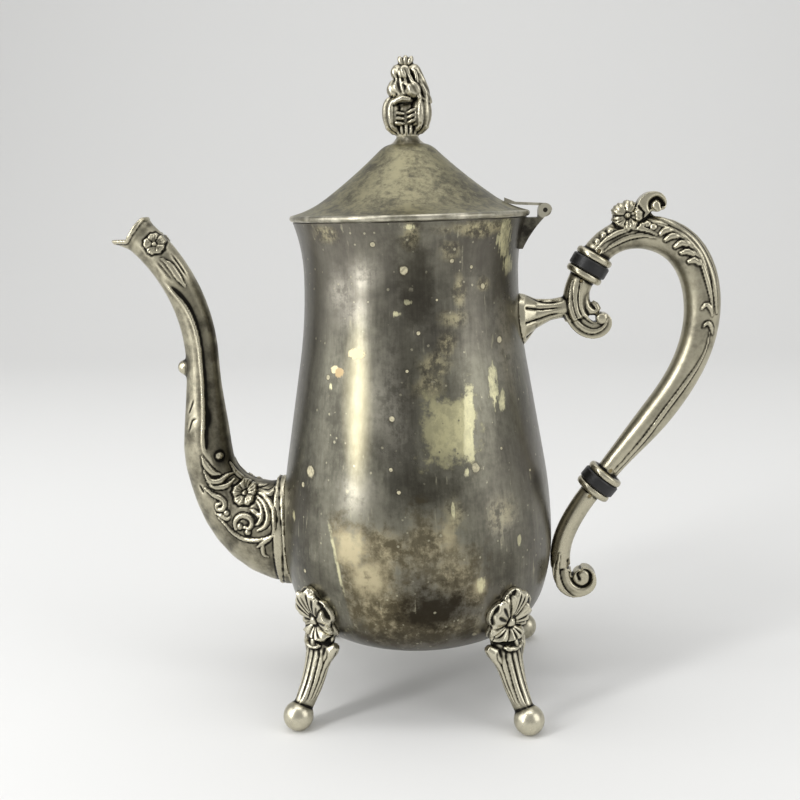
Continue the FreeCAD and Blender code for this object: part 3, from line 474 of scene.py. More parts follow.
def tarnished_sheet():
    """Spun plate gone grey, thin and straw-coloured in areas, spotted and scratched, with a painted dark
    reflection and a painted highlight tint down its front.
    """
    made = Finish("tarnished_sheet")
    cloud = made.noise(24, 6, 0.62, warp=0.4)
    wide = made.noise(11, 3, 0.5)
    streak = made.noise(1, 5, 0.6, made.stretched(110, 110, 9))
    grain = made.noise(420, 3, 0.6)
    ragged = made.noise(110, 7, 0.68)
    torn = made.noise(300, 6, 0.7)
    brushed = made.noise(1, 4, 0.6, made.stretched(900, 900, 60))
    shade = cloud * 0.36 + streak * 0.30 + torn * 0.22 + brushed * 0.12
    base = made.mix(made.step(shade, 0.40, 0.62), UMBER, SLATE)
    base = made.mix(made.step(wide, 0.40, 0.62) * 0.6, base, PLUM)
    mottle = made.step(torn * 0.50 + ragged * 0.40 + brushed * 0.10, 0.42, 0.56)

    frayed = (ragged - 0.5) * 2.6 + (torn - 0.5) * 1.4
    hazy = made.highest(HAZY, frayed, 0.1, 1.2)
    colour = made.mix(hazy * (0.25 + mottle * 0.75), base, HAZE)
    # Painted highlight tint: the band under the key lamp's highlight is mixed towards straw, partly as thin
    # tarnish
    yellowed_highlight = 1 - made.step(made.patch(*YELLOWED_HIGHLIGHT_BAND), 0.3, 1.1)
    colour = made.mix(yellowed_highlight * 0.35, colour, STRAW)
    thin = made.highest(THIN, frayed, 0.3, 1.2)
    colour = made.mix(thin * (0.40 + mottle * 0.60), colour, made.mix(mottle, PEAT, STRAW))

    # Brown area, which ends on the left at a pale scraped line
    x, y, z = (made.along(axis) for axis in range(3))
    line_x, line_z, line_lean = SCRAPED_LINE
    from_line = x - line_x + (z - line_z) * line_lean + (torn - 0.5) * 1.4
    low_front = (1 - made.step(z, 84, 90)) * (1 - made.step(y, -20, -10))
    inside = 1 - low_front * (1 - made.step(from_line, -0.8, 0.6))
    line = low_front * made.step(z, 55, 60) * (1 - made.step(made.math("ABSOLUTE", from_line), 0.2, 0.9))
    line = line * made.step(ragged, 0.40, 0.56)
    browned = made.highest(BROWNED, frayed, 0.3, 1.2) * inside
    tanned = made.highest(TANNED, frayed, 0.1, 1.2)
    paleness = made.step(torn * 0.45 + ragged * 0.35 + streak * 0.20 + tanned * 0.15, 0.46, 0.64)
    colour = made.mix(browned * 0.92, colour, made.mix(paleness, BROWN, TAN))
    # Thick tarnish, and a painted dark reflection down the middle of the front, both mixed towards murk
    thick_and_dark_band = made.highest(THICK_AND_DARK_BAND, (ragged - 0.5) * 2.4, 0.3, 1.2)
    colour = made.mix(thick_and_dark_band, colour, MURK)

    # Patches rubbed down to the metal
    edge = (ragged - 0.5) * 1.7 + (torn - 0.5) * 1.6 + (brushed - 0.5) * 0.3
    worn = 1 - made.step(made.block(*WORN_PATCH) + edge, 0.50, 1.06)
    strip = 1 - made.step(made.block(*WORN_STRIP) + edge, 0.60, 1.10)
    pits = 1 - made.step(made.cells(330) + (torn - 0.5) * 0.3, 0.08, 0.16)
    colour = made.mix(worn * (0.65 + mottle * 0.35) * (1 - pits * 0.8), colour, OLIVE)
    rubbed = made.highest(RUBBED, (torn + brushed - 1) * 2.2, 0.55, 1.06)
    bright = made.most(made.most(rubbed * 0.9, strip), line * 0.7) * (0.55 + mottle * 0.45)
    colour = made.mix(bright, colour, GILT)

    # Marks where the tarnish has lifted, flecks and scrapes
    nick = made.noise(900, 4, 0.6)
    chipped = (torn - 0.5) * 1.1 + (nick - 0.5) * 0.7
    lift = made.highest(LIFTED, chipped, 0.66, 0.94)
    rim = made.highest(LIFTED, chipped, 0.94, 1.45) - lift
    creamy = made.highest(CREAMY, chipped, 0.70, 1.0)
    rust = made.highest(RUSTED, chipped, 0.70, 1.0)
    fleck = 1 - made.step(made.cells(95) + (torn - 0.5) * 0.5, 0.045, 0.08)
    speck = 1 - made.step(made.cells(260) + (torn - 0.5) * 0.4, 0.06, 0.14)
    fleck = made.most(fleck * made.step(cloud, 0.45, 0.55), speck * made.step(ragged, 0.42, 0.51))
    scrape = made.step(made.noise(1, 3, 0.5, made.stretched(560, 560, 30)), 0.63, 0.70)
    scrape = scrape * made.step(ragged, 0.48, 0.62)
    colour = made.mix(made.most(fleck * 0.75, scrape * 0.5), colour, PALE)
    colour = made.mix(rim * 0.35, colour, PEAT)
    colour = made.mix(lift * (0.55 + made.step(nick, 0.38, 0.56) * 0.45), colour, CREAM)
    colour = made.mix(creamy, colour, BUTTER)
    made.feed("Base Color", made.mix(rust, colour, RUST))
    lift = made.most(lift, made.most(creamy, rust))
    made.feed("Metallic", 1 - lift * 0.55)
    rough = 0.305 + made.most(thin, browned) * 0.09 + made.most(worn * 0.08, bright * 0.16) + lift * 0.3
    made.feed("Roughness", rough + (grain - 0.5) * 0.12 + (cloud - 0.5) * 0.12)
    made.feed("Normal", made.bump(grain * 0.3 + brushed * 0.15 + ragged * 0.2 + lift * 0.5, 0.10, 0.0004))
    return made


def mottled_lid():
    """Lid plate, more yellow than the body, clouded, with scratches along its slope."""
    made = Finish("mottled_lid", Metallic=1.0)
    cloud = made.noise(85, 8, 0.70, warp=0.3)
    fine = made.noise(380, 6, 0.72)
    wide = made.noise(17, 3, 0.5)
    across = made.noise(1, 3, 0.5, made.stretched(60, 700, 700))
    scratch = made.step(across, 0.66, 0.73) * made.step(wide, 0.40, 0.56)
    shade = made.step(cloud * 0.45 + fine * 0.45 + wide * 0.10, 0.40, 0.59)
    base = made.mix(shade, (0.112, 0.104, 0.074), (0.320, 0.296, 0.188))
    made.feed("Base Color", made.mix(scratch * 0.45, base, PALE))
    made.feed("Roughness", 0.42 + (fine - 0.5) * 0.2)
    made.feed("Normal", made.bump(fine * 0.5 + scratch * 0.5, 0.10, 0.0004))
    return made


def chased_casting(name, low, high, rubbed_and_glint_colour):
    """Cast plate, black with tarnish in its hollows, and pale where it stands out: rubbed metal with
    painted glints.
    """
    made = Finish(name, Metallic=1.0)
    wear_and_light = made.node("ShaderNodeAttribute", {"attribute_name": "wear_and_light"}, {}, "Fac")
    cloud = made.noise(95, 6, 0.65)
    fine = made.noise(700, 4, 0.6)
    # Painted glints: ridges mixed towards the pale colour, partly as real rubbing
    rubbed = made.step(wear_and_light + (cloud - 0.5) * 0.40 + (fine - 0.5) * 0.14, low, high)
    dull = made.mix(made.step(cloud, 0.36, 0.64), (0.100, 0.091, 0.067), (0.260, 0.240, 0.174))
    base = made.mix(made.step(wear_and_light, 0.20, 0.46), SOOT, dull)
    made.feed("Base Color", made.mix(rubbed, base, rubbed_and_glint_colour))
    made.feed("Roughness", 0.42 - rubbed * 0.14 + (fine - 0.5) * 0.14)
    made.feed("Normal", made.bump(fine * 0.6 + cloud * 0.4, 0.14, 0.0003))
    return made


def plain_metal(name, dark, bright, roughness):
    """Small plain fittings and wires, lightly tarnished."""
    made = Finish(name, Metallic=1.0)
    cloud = made.noise(150, 6, 0.65)
    fine = made.noise(900, 3, 0.6)
    made.feed("Base Color", made.mix(made.step(cloud, 0.36, 0.62), dark, bright))
    made.feed("Roughness", roughness + (fine - 0.5) * 0.15 + (cloud - 0.5) * 0.12)
    made.feed("Normal", made.bump(fine, 0.1, 0.0002))
    return made


def shaded_hinge_metal():
    """Bracket painted dark as the shade it stands in, rubbed bright round the ends of its knuckles."""
    made = Finish("shaded_hinge_metal", Metallic=1.0)
    cloud = made.noise(150, 6, 0.65)
    dark = made.mix(made.step(cloud, 0.36, 0.62), (0.035, 0.032, 0.026), (0.16, 0.15, 0.115))
    knuckle = 1 - made.step(made.patch(HINGE_PIN, (3.4, 60, 3.4)) + (cloud - 0.5) * 0.3, 0.85, 1.05)
    made.feed("Base Color", made.mix(knuckle * 0.9, dark, (0.56, 0.53, 0.42)))
    made.feed("Roughness", 0.44 - knuckle * 0.10)
    return made


def black_insulator():
    """Black composition, satin, with dusty wear."""
    made = Finish("black_insulator", Metallic=0.0)
    cloud = made.noise(180, 6, 0.65)
    fine = made.noise(1200, 4, 0.6)
    dusty = made.step(cloud, 0.55, 0.8)
    made.feed("Base Color", made.mix(dusty, (0.007, 0.007, 0.007), (0.025, 0.023, 0.020)))
    made.feed("Roughness", 0.42 + (fine - 0.5) * 0.3)
    made.feed("Normal", made.bump(fine, 0.25, 0.0003))
    return made


sheet = tarnished_sheet()
sheet.shade("body_shell", "base_plate")
mottled_lid().shade("lid_shell")
trim = plain_metal("bright_trim", (0.26, 0.245, 0.19), (0.55, 0.52, 0.42), 0.36)
trim.shade("lid_rim_bead", "finial_collar", "hinge_lid_leaf", "lid_bezel")
# Hinge bracket painted dark as painted shade
shaded_hinge_metal().shade("hinge_bracket")
plain_metal("dull_brass", (0.12, 0.10, 0.06), (0.36, 0.30, 0.17), 0.42).shade(
    "finial_nut", "upper_insulator_pins", "lower_insulator_pins")
# The pin end painted near black, as the painted shade of a dark hole
plain_metal("pin_painted_as_shaded_hole", (0.014, 0.013, 0.011), (0.05, 0.046, 0.038), 0.5).shade("hinge_pin")
black_insulator().shade("upper_insulator", "lower_insulator")
spout_metal = chased_casting("spout_metal", 0.46, 0.80, (0.50, 0.465, 0.350))
handle_metal = chased_casting("handle_metal", 0.43, 0.78, (0.50, 0.465, 0.350))
foot_metal = chased_casting("foot_metal", 0.45, 0.80, (0.60, 0.565, 0.44))
finial_metal = chased_casting("finial_metal", 0.43, 0.77, (0.52, 0.485, 0.375))


def finish_piece(piece, finish, body, *nodes):
    """Give a piece its finish and its place on a body, in place of the nodes it stands for."""
    piece.data.materials.clear()
    piece.data.materials.append(finish.material)
    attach(piece, body)
    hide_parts(*nodes)


# Solids that are worked into a casting before its skin is made

def egg(middle, radii, turn=0.0):
    """Closed rounded lump, turned about the Y axis."""
    lump = bmesh.new()
    bmesh.ops.create_uvsphere(lump, u_segments=24, v_segments=16, radius=1)
    shape = Matrix.Translation(Vector(middle) * MM) @ Matrix.Rotation(math.radians(turn), 4, "Y")
    shape = shape @ Matrix.Diagonal((*[r * MM for r in radii], 1))
    lump.transform(shape)
    mesh = bpy.data.meshes.new("egg")
    lump.to_mesh(mesh)
    lump.free()
    return mesh


def rod(path, radii, flat=1.0, sides=16):
    """Closed round bar through places, thick by radii, flattened along Y."""
    knots = np.array(path, dtype=float)
    if knots.shape[1] == 2:
        knots = np.stack([knots[:, 0], np.zeros(len(knots)), knots[:, 1]], axis=1)
    bar = bmesh.new()
    rings = []
    for number, knot in enumerate(knots):
        ahead = knots[min(number + 1, len(knots) - 1)] - knots[max(number - 1, 0)]
        ahead /= np.linalg.norm(ahead)
        out = np.cross(ahead, (0, 1, 0))
        out /= np.linalg.norm(out)
        across = np.cross(out, ahead) * flat
        ring = []
        for turn in np.linspace(0, 2 * np.pi, sides, endpoint=False):
            place = knot + radii[number] * (out * math.cos(turn) + across * math.sin(turn))
            ring.append(bar.verts.new(Vector(place) * MM))
        rings.append(ring)
    for near, far in zip(rings, rings[1:]):
        for number in range(sides):
            after = (number + 1) % sides
            bar.faces.new((near[number], near[after], far[after], far[number]))
    bar.faces.new(rings[0][::-1])
    bar.faces.new(rings[-1])
    bmesh.ops.recalc_face_normals(bar, faces=bar.faces)
    mesh = bpy.data.meshes.new("rod")
    bar.to_mesh(mesh)
    bar.free()
    return mesh


def node_mesh(name):
    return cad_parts[name].data


# Spout: leaf folded round its outer curve, flowers and scrolls on both sides

def make_spout():
    curl = egg((-94.3, 0, 136.8), (3.2, 3.8, 3.2))
    tip = egg((-119.3, 0, 188.3), (1.5, 3.2, 1.0))
    piece = even_skin("spout_casting", [node_mesh("spout"), curl, tip], 0.5)
    work = Chasing(piece)
    rim_gap = np.hypot(work.points[:, 0], work.points[:, 1]) - BELLY_RADIUS
    work.relax(smooth_step(rim_gap, 3.5, 6) * smooth_step(184 - work.points[:, 2], 0, 4), 40)
    relief = Relief(work.points[:, 0], work.points[:, 2])
    leaf_edge = np.array([(-84.5, 99.0), (-86.2, 103.4), (-86.5, 109.1), (-85.9, 116.2), (-85.8, 131.7),
                          (-86.0, 140.0), (-86.4, 147.0), (-87.6, 154.0), (-89.9, 160.3), (-92.6, 164.6),
                          (-96.2, 168.6), (-100.0, 172.6)])
    relief.fold(leaf_edge, 3.4, 0.65, 0.35)
    relief.ridge([(-87.3, 100.9), (-85.7, 96.9), (-83.0, 93.9), (-80.4, 93.2)], 1.3, 0.8)
    relief.ridge([(-86.9, 95.0), (-84.5, 90.7), (-80.6, 90.4), (-77.7, 92.4), (-75.3, 93.0)], 1.1, 0.9)
    relief.ridge([(-86.0, 90.4), (-82.4, 88.1), (-77.9, 88.4), (-75.0, 90.8)], 1.0, 0.8)
    relief.ridge([(-86.8, 87.4), (-83.3, 84.8), (-80.3, 83.6), (-78.5, 81.6), (-79.3, 79.1), (-81.7, 78.9),
                  (-82.0, 80.7), (-80.4, 81.3)], 1.0, 0.9, (0.5, 0.6))
    relief.groove([(-89.3, 88.6), (-87.6, 85.1)], 0.7, 0.6)
    relief.ridge([(-64.6, 85.4), (-60.6, 82.9), (-57.7, 78.7), (-57.2, 73.3), (-58, 69.8)], 1.0, 0.8)
    relief.ridge([(-65.1, 84.0), (-61.9, 81.3), (-60.0, 76.9), (-61.3, 72.8), (-64.6, 70.9)], 1.0, 0.9)
    relief.ridge([(-65.3, 82.5), (-62.9, 79.7), (-62.6, 76.5), (-64.2, 73.7), (-66.1, 72.9)], 0.9, 0.8)
    relief.ridge([(-67.9, 79.3), (-65.4, 78.0), (-64.4, 76.4)], 0.8, 0.7)
    relief.ridge([(-74.0, 71.0), (-74.3, 73.9), (-71.9, 76.5), (-68.6, 76.3), (-66.8, 74.3), (-67.9, 71.8),
                  (-70.2, 71.9)], 1.1, 0.95, (0.6, 0.5))
    for place in ((-72.2, 72.2), (-68.8, 70.0), (-77.9, 77.6), (-63.8, 77.1)):
        relief.ball(place, 1.2, 0.9)
    relief.ridge([(-81.9, 75.5), (-78.6, 72.5), (-75.0, 69.0), (-70.5, 66.8), (-65.2, 66.7), (-60.7, 68.0),
                  (-57.8, 69.4)], 0.8, 0.75)
    relief.ridge([(-82.9, 76.9), (-80.7, 76.3), (-77.7, 75.0), (-76.1, 76.2)], 0.9, 0.7)
    relief.ridge([(-57.8, 69.2), (-61.3, 66.7), (-65.1, 63.6)], 1.0, 0.75)
    relief.ridge([(-61.9, 65.9), (-62.9, 63.2), (-62.4, 60.4), (-60.6, 59.4)], 0.8, 0.7)
    relief.ridge([(-77.1, 97.4), (-74.7, 93.1), (-70.8, 90.1), (-66.6, 88.2), (-62.4, 88.0), (-57.5, 90.0)],
                 0.8, 0.75)
    relief.ridge([(-64.7, 86.2), (-61.5, 84.8), (-59.0, 85.6), (-57.8, 87.6)], 1.0, 0.8)
    relief.groove([(-90.1, 123.9), (-92.9, 117.9)], 0.6, 0.5)
    relief.groove([(-89.0, 116.5), (-91.2, 115.3), (-92.9, 110.8)], 0.6, 0.5)
    relief.ball((-80.5, 100.7), 1.4, 0.8)
    relief.flower((-70.5, 85.3), (5.0, 5.0, 5.0), 1.3)
    relief.ridge([(-99.4, 181.8), (-96.1, 178.8), (-93.4, 174.6), (-90.8, 170.6)], 1.2, 0.5)
    relief.groove([(-95.9, 183.5), (-92.8, 178.9), (-89.9, 174.0)], 0.6, 0.28)
    relief.groove([(-101.6, 180.8), (-98.2, 176.4), (-95, 172.2)], 0.6, 0.28)
    relief.flower((-102.2, 187.6), (4.3, 4.3, 4.3), 1.0, turn=100)
    mouth = [(-106.1, 197.7), (-107.2, 197.3), (-109.7, 194.1), (-112.0, 191.1), (-113.1, 189.6),
             (-114.2, 188.7), (-116.1, 188.7), (-119.6, 188.8)]
    relief.ridge(mouth, 0.9, 0.35, (0.8, 0.9))
    rim_gap = np.hypot(work.points[:, 0], work.points[:, 1]) - BELLY_RADIUS
    root_top, root_rim = 95, 1.3
    at_root = (work.points[:, 2] < root_top) * (work.points[:, 0] < -30) * (work.normals[:, 0] > -0.6)
    seam = 0.45 * np.exp(-((rim_gap - root_rim) / 0.3) ** 2) * at_root
    work.move(relief.heights() * work.side() - seam)
    x, _, z = work.points.T
    from_edge = x - np.interp(z, leaf_edge[:, 1], leaf_edge[:, 0])
    on_leaf = smooth_step(z, 86, 100) * smooth_step(178 - z, 0, 10)
    # The tube side right of the leaf edge is darker: tarnish, and painted shade on the side turned from the
    # light
    tube_side_tarnish_and_shade = 0.24 * smooth_step(from_edge, -0.4, 2.2)
    in_fold = 0.26 * np.exp(-(from_edge - 0.8) ** 2)
    tone = on_leaf * (0.02 - tube_side_tarnish_and_shade + in_fold)
    lip_reach = 1.2
    on_lip, gap = relief.nearest(mouth, lip_reach)[:2]
    tone[on_lip] += 0.25 * np.clip(1 - gap / lip_reach, 0, 1)
    tone -= 0.30 * (rim_gap < root_rim) * (z < root_top) + 0.06 * smooth_step(z, root_top, 110)
    work.note_wear_and_light(tone=tone)
    finish_piece(piece, spout_metal, "pot", "spout")


# Handle: flower and crest, lapped leaves down its back, ridges along its sides

def make_grip():
    flower = egg((84.2, 0, 193.6), (5.6, 4.6, 5.6))
    web = egg((89.5, 0, 192.0), (6.0, 3.2, 4.5), 20)
    piece = even_skin("grip_casting", [node_mesh("handle_grip"), flower, web], 0.45)
    work = Chasing(piece)
    seats_and_scroll = ((73.0, 179.5), (78.0, 91.5), (95.0, 197.3))
    gaps = [np.hypot(work.points[:, 0] - x, work.points[:, 2] - z) for x, z in seats_and_scroll]
    work.relax(smooth_step(np.min(gaps, axis=0), 8, 11), 40)
    relief = Relief(work.points[:, 0], work.points[:, 2])
    relief.ridge([(72.3, 181.4), (76.0, 185.1), (81.0, 187.8), (86.0, 189.3), (90.9, 188.5), (95.2, 186.6)],
                 0.9, 0.6)
    relief.ridge([(74.5, 180.1), (78.5, 182.8), (84.1, 185.5), (89.7, 186.4), (94.6, 185.4)], 0.8, 0.5)
    relief.ridge([(94.3, 193.5), (99.0, 191.7), (104.0, 188.4), (109.8, 183.0), (114.4, 175.0),
                  (117.2, 166.4), (118.5, 156.0)], 1.3, 0.7)
    relief.ridge([(95.7, 190.3), (101.2, 188.4), (106.4, 184.2), (111.2, 178.0), (114.2, 170.0),
                  (115.9, 162.6), (116.8, 155.5)], 1.0, 0.7)
    for lobe in ([(96.5, 186.8), (98.4, 188.3), (101.3, 188.0)],
                 [(98.3, 184.5), (100.8, 186.0), (104.0, 185.6)],
                 [(102.0, 181.8), (104.7, 183.3), (107.8, 182.0)],
                 [(104.3, 179.4), (106.8, 179.9), (110.3, 178.4)],
                 [(107.2, 176.0), (109.6, 176.6), (112.2, 174.4)]):
        relief.ridge(lobe, 1.1, 0.8, (0.7, 0.3))
    relief.ridge([(112.3, 157.6), (114.2, 159.5), (115.9, 158.0), (116.7, 155.0)], 0.8, 0.7)
    relief.ridge([(113.0, 150.8), (115.0, 152.4), (116.4, 150.8), (117.0, 147.7)], 0.8, 0.7)
    relief.ridge([(116.0, 149.0), (114.9, 143.0), (112.4, 136.8), (106.5, 127.5), (99.5, 117.5),
                  (92.0, 106.5), (84.5, 97.0), (80.6, 92.6)], 0.8, 0.45, (0.3, 0.8))
    for spot in ((72.6, 184.4), (75.0, 187.0), (77.6, 188.6), (89.4, 190.2), (91.6, 190.8), (93.7, 189.6)):
        relief.ball(spot, 1.2, 0.6)
    relief.flower((84.2, 194.0), (5.6, 5.6, 5.6), 1.5, turn=70)
    relief.groove([(99.0, 193.4), (97.6, 196.6), (97.0, 198.9), (95.0, 200.3), (92.9, 198.9), (92.8, 196.5),
                   (94.2, 195.1)], 1.3, 1.7, (0.3, 0.6))
    work.move(relief.heights() * work.side())
    work.note_wear_and_light()
    finish_piece(piece, handle_metal, "pot", "handle_grip")


def make_sockets():
    inner_leaf = rod([(68.2, 169.0), (68.0, 165.2), (68.1, 161.6), (69.0, 158.9), (70.7, 157.2),
                      (72.5, 157.0), (73.4, 158.2), (72.6, 159.6), (71.2, 160.6)],
                     [2.2, 2.3, 2.3, 2.2, 2.0, 1.7, 1.5, 1.3, 1.0], 1.5)
    piece = even_skin("upper_socket_casting", [node_mesh("upper_socket"), inner_leaf], 0.42)
    work = Chasing(piece)
    relief = Relief(work.points[:, 0], work.points[:, 2])
    for flute in ([(59.1, 161.6), (54.6, 161.3), (50.7, 161.9), (46.2, 164.2)],
                  [(59.0, 159.2), (54.5, 158.8), (50.7, 158.7), (45.8, 159.5)],
                  [(59.1, 156.8), (54.5, 155.9), (50.6, 154.7), (45.6, 153.6)],
                  [(59.9, 154.6), (55.4, 153.2), (51.5, 151.0), (46.0, 147.6)]):
        relief.groove(flute, 0.9, 0.8, (0.2, 0.9))
    relief.groove([(66.4, 170.0), (65.6, 164.0), (66.0, 158.6), (68.2, 154.6), (71.4, 152.6),
                   (74.4, 153.0)], 0.7, 0.6, (0.4, 0.1))
    relief.ridge([(63.2, 169.4), (62.4, 163.6), (63.0, 157.1), (66.0, 152.0), (71.0, 149.4), (75.5, 151.0),
                  (77.2, 154.4)], 1.0, 0.5)
    relief.ball((74.8, 154.5), 2.0, 0.7)
    work.move(relief.heights() * work.side(0.05, 0.35))
    work.note_wear_and_light()
    finish_piece(piece, handle_metal, "pot", "upper_socket")

    piece = even_skin("lower_socket_casting", [node_mesh("lower_socket")], 0.42)
    work = Chasing(piece)
    relief = Relief(work.points[:, 0], work.points[:, 2])
    relief.ridge([(58.6, 58.0), (57.6, 50.0), (59.0, 43.0), (63.6, 38.2), (69.6, 38.0), (74.6, 41.6),
                  (76.0, 47.0), (73.6, 51.6)], 1.3, 0.5)
    relief.groove([(62.2, 54.5), (63.0, 48.6), (64.6, 44.8), (67.8, 43.2), (70.8, 45.2), (71.0, 49.0),
                   (68.4, 50.9), (66.0, 49.2), (66.6, 46.8)], 1.1, 1.3, (0.3, 0.7))
    work.move(relief.heights() * work.side(0.05, 0.35))
    work.note_wear_and_light()
    finish_piece(piece, handle_metal, "pot", "lower_socket")


# Feet: flower knee with a leaf on each side, fluted leg, ball toe

def make_foot(node, azimuth):
    turn = Matrix.Rotation(math.radians(azimuth), 4, "Z")
    lumps = []
    for side in (-1, 1):
        leaf = rod([(53.4, 3.4 * side, 21), (52.6, 5.0 * side, 27), (51.2, 7.0 * side, 31.5),
                    (50.4, 9.4 * side, 33.6)], [1.0, 2.0, 2.7, 1.5])
        leaf.transform(turn)
        lumps.append(leaf)
    bead = egg((55.2, 0, 33.2), (2.2, 4.6, 1.4), 25)
    bead.transform(turn)
    piece = even_skin(node + "_casting", [node_mesh(node), *lumps, bead], 0.42)
    work = Chasing(piece)
    spin = math.radians(azimuth)
    out = work.points[:, 0] * math.cos(spin) + work.points[:, 1] * math.sin(spin)
    across = work.points[:, 1] * math.cos(spin) - work.points[:, 0] * math.sin(spin)
    up = work.points[:, 2]
    facing = work.normals[:, 0] * math.cos(spin) + work.normals[:, 1] * math.sin(spin)
    relief = Relief(across, up)
    relief.flower((0, 41.8), (10.8, 15.0, 7.8), 2.1, turn=72)
    knee = relief.heights() * smooth_step(facing, 0.1, 0.5)
    bottom, top, thickness, slices = 8, 33, 2, 13
    levels = np.clip(((up - bottom) / thickness).astype(int), 0, slices - 1)
    leg = (up > bottom) & (up < top)
    counts = np.maximum(np.bincount(levels[leg], minlength=slices), 1)
    middle = np.bincount(levels[leg], out[leg], slices) / counts
    centre = np.interp(up, bottom + thickness * (np.arange(slices) + 0.5), middle)
    angle = np.arctan2(across * 0.75, out - centre)
    flutes = 0.70 * np.sqrt(np.abs(np.cos(angle * 6.5))) - 0.50
    fade = smooth_step(up, 11, 15) * smooth_step(34 - up, 0, 4)
    work.move(knee + flutes * fade)
    work.note_wear_and_light(tone=-0.13 * smooth_step(36 - up, 0, 5))
    finish_piece(piece, foot_metal, "pot", node)


make_spout()
make_grip()
make_sockets()
for node, azimuth in (("foot_rear_right", 45), ("foot_rear_left", 135),
                      ("foot_front_left", 225), ("foot_front_right", 315)):
    make_foot(node, azimuth)


# Finial: two ribbed leaves round a dark hollow, lapped leaves above them, a tip of three lobes

def make_finial():
    solids = [egg((0, 0, 233.5), (6.0, 6.0, 7.0)), egg((0, 0, 243.5), (5.6, 5.2, 8.0)),
              rod([(0, 226.0), (0, 229.0)], [4.3, 5.2])]
    stud_radius = 1.5
    solids.append(rod([(0, 217.2), (0, 228.0)], [stud_radius, stud_radius]))
    for side, lean in ((-1, -8), (1, 8)):
        solids.append(egg((5.0 * side, 0, 234.3), (4.3, 7.0, 7.3), lean))
        solids.append(egg((3.7 * side, 0, 243.8), (3.7, 4.6, 4.0), 15 * side))
        solids.append(egg((3.0 * side, 0, 250.2), (2.7, 3.8, 3.2), 12 * side))
        solids.append(egg((1.7 * side, 0, 254.2), (1.2, 1.6, 2.3), 22 * side))
    solids.append(egg((0, 0, 254.2), (1.3, 1.5, 2.5)))
    side_leaf = [(7.8, 0, 238.4), (7.0, 0, 242.4), (5.7, 0, 247.0), (4.3, 0, 251.0)]
    solids.append(rod(side_leaf, [1.9, 2.0, 1.8, 1.2], 1.7))
    for face in (-1, 1):
        solids.append(egg((-2.9 * face, 4.4 * face, 243.4), (3.2, 2.3, 3.1)))
        solids.append(egg((0.2 * face, 4.0 * face, 250.0), (2.4, 1.6, 2.6)))
        for level, spread in ((231.0, 2.0), (232.9, 2.1), (234.8, 2.2)):
            solids.append(egg((-2.6, 5.6 * face, level), (spread, 1.3, 0.75), 8))
            solids.append(egg((2.5, 5.6 * face, level + 0.8), (spread, 1.3, 0.75), -20))
        for end in ((-1.0, 4.9, 246.4), (1.2, 4.7, 249.2), (3.8, 3.6, 250.4)):
            path = [(7.4, 2.6, 238.4), (5.0, 4.6, 241.2), end]
            solids.append(rod([(x * -face, y * face, z) for x, y, z in path], [1.2, 1.0, 0.6]))
        arch = [(-6.0, 4.2, 236.6), (-4.0, 5.6, 239.2), (-1.0, 6.2, 240.2), (2.0, 5.9, 239.6)]
        solids.append(rod([(x * -face, y * face, z) for x, y, z in arch], [1.1, 1.2, 1.2, 0.8]))
    piece = even_skin("finial_casting", solids, 0.30)
    work = Chasing(piece)
    x, y, z = work.points.T
    around = np.arctan2(y, np.abs(x) - 3.0)
    leaf = smooth_step(np.abs(x), 3.8, 5.0) * smooth_step(z, 228, 230) * smooth_step(242 - z, 0, 2)
    ribs = 0.33 * np.cos(around * 11) * leaf
    turn = np.arctan2(y, x)
    flutes = 0.3 * np.cos(turn * 16) * smooth_step(230.6 - z, 0, 1) * smooth_step(z, 226.6, 227.6)
    crown = 0.22 * np.cos(turn * 14 + 0.9 * z) * smooth_step(z, 241, 243) * smooth_step(252.5 - z, 0, 2)
    work.move(ribs + flutes + crown)
    work.note_wear_and_light(4, 30)
    finish_piece(piece, finial_metal, "lid", "finial")


make_finial()


# Stage: pale sweep, soft boxes and the camera of the photograph

def make_sweep():
    """Floor that bends up into a wall behind the pot, in one pale colour."""
    half, front, back, bend, top = 3.0, -2.5, 0.9, 0.9, 3.0
    outline = [(front, 0.0), (back, 0.0)]
    for number in range(1, 25):
        turn = math.radians(90 * number / 24)
        outline.append((back + bend * math.sin(turn), bend - bend * math.cos(turn)))
    outline.append((back + bend, top))
    corners = [(side * half, y, z) for y, z in outline for side in (-1, 1)]
    faces = [(2 * n, 2 * n + 1, 2 * n + 3, 2 * n + 2) for n in range(len(outline) - 1)]
    mesh = bpy.data.meshes.new("sweep")
    mesh.from_pydata(corners, [], faces)
    mesh.shade_smooth()
    mesh.materials.append(Finish("pale_sweep", Metallic=0.0, Roughness=0.9,
                                 Base_Color=(0.76, 0.76, 0.75, 1)).material)
    linked("sweep", mesh)


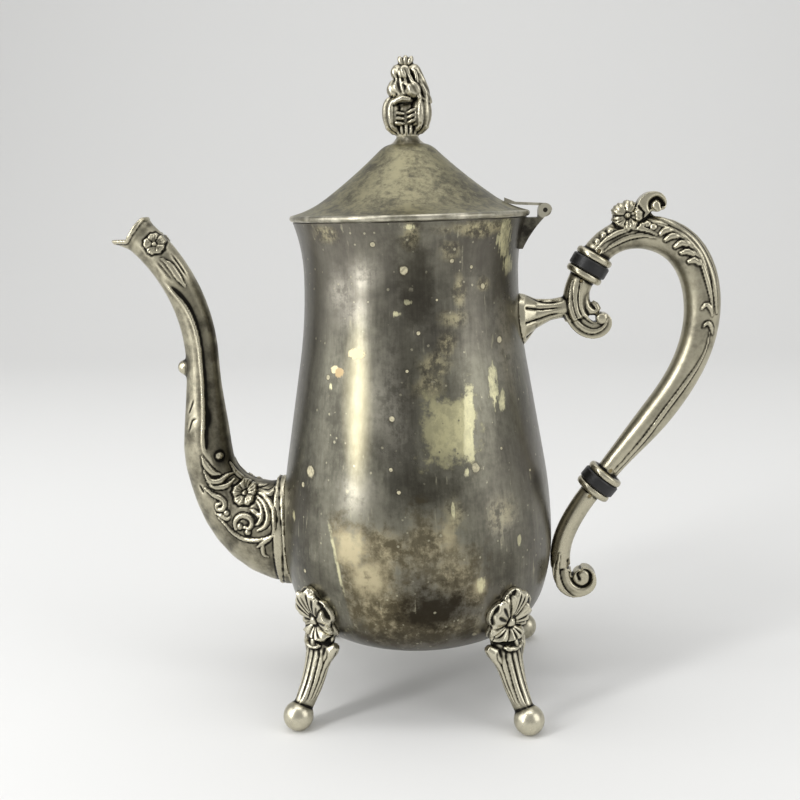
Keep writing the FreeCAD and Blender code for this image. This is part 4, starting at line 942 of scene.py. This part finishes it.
def soft_box(name, place, target, size, power):
    """Rectangular lamp at a place, turned to a target, in metres and watts."""
    lamp = bpy.data.lights.new(name, "AREA")
    lamp.shape = "RECTANGLE"
    lamp.size, lamp.size_y = size
    lamp.energy = power
    holder = linked(name, lamp)
    holder.location = place
    holder.rotation_euler = (Vector(target) - Vector(place)).to_track_quat("-Z", "Y").to_euler()


make_sweep()
soft_box("key_strip", (-0.75, -0.66, 0.62), (0, 0, 0.2), (0.15, 1.2), 7.0)
soft_box("left_box", (-1.15, -0.25, 0.6), (0, 0, 0.15), (0.7, 1.0), 4.5)
soft_box("right_box", (1.1, -0.45, 0.6), (0, 0, 0.15), (0.8, 1.0), 4.5)
soft_box("top_box", (0.0, 0.15, 1.7), (0, 0.15, 0), (1.6, 1.6), 7)
soft_box("wall_box", (0.0, -0.4, 2.4), (0, 1.7, 0.7), (2.0, 0.6), 9)

world = bpy.data.worlds.new("studio")
world.use_nodes = True
world.node_tree.nodes["Background"].inputs["Color"].default_value = (0.50, 0.50, 0.50, 1)
world.node_tree.nodes["Background"].inputs["Strength"].default_value = 1.0
bpy.context.scene.world = world
bpy.context.scene.view_settings.view_transform = "Standard"

# Viewing angle in degrees, then millimetres: distance, sideways shift and height of the eye
YAW, PITCH, ROLL = (math.radians(angle) for angle in (5.498, 10.993, 1.608))
EYE_DISTANCE, EYE_SHIFT, EYE_HEIGHT = 420, -5.76, 203.76
LENS, SENSOR = 47.25, 36


def place_camera():
    level = Vector((-math.sin(YAW), math.cos(YAW), 0))
    right = Vector((math.cos(YAW), math.sin(YAW), 0))
    ahead = level * math.cos(PITCH) - Vector((0, 0, math.sin(PITCH)))
    up = right.cross(ahead)
    tilted_right = right * math.cos(ROLL) - up * math.sin(ROLL)
    tilted_up = right * math.sin(ROLL) + up * math.cos(ROLL)
    lens = bpy.data.cameras.new("camera")
    lens.sensor_width = SENSOR
    lens.lens = LENS
    camera = linked("camera", lens)
    eye = (right * EYE_SHIFT - level * EYE_DISTANCE + Vector((0, 0, EYE_HEIGHT))) * MM
    turned = Matrix((tilted_right, tilted_up, -ahead)).transposed().to_4x4()
    camera.matrix_world = Matrix.Translation(eye) @ turned
    bpy.context.scene.camera = camera


place_camera()
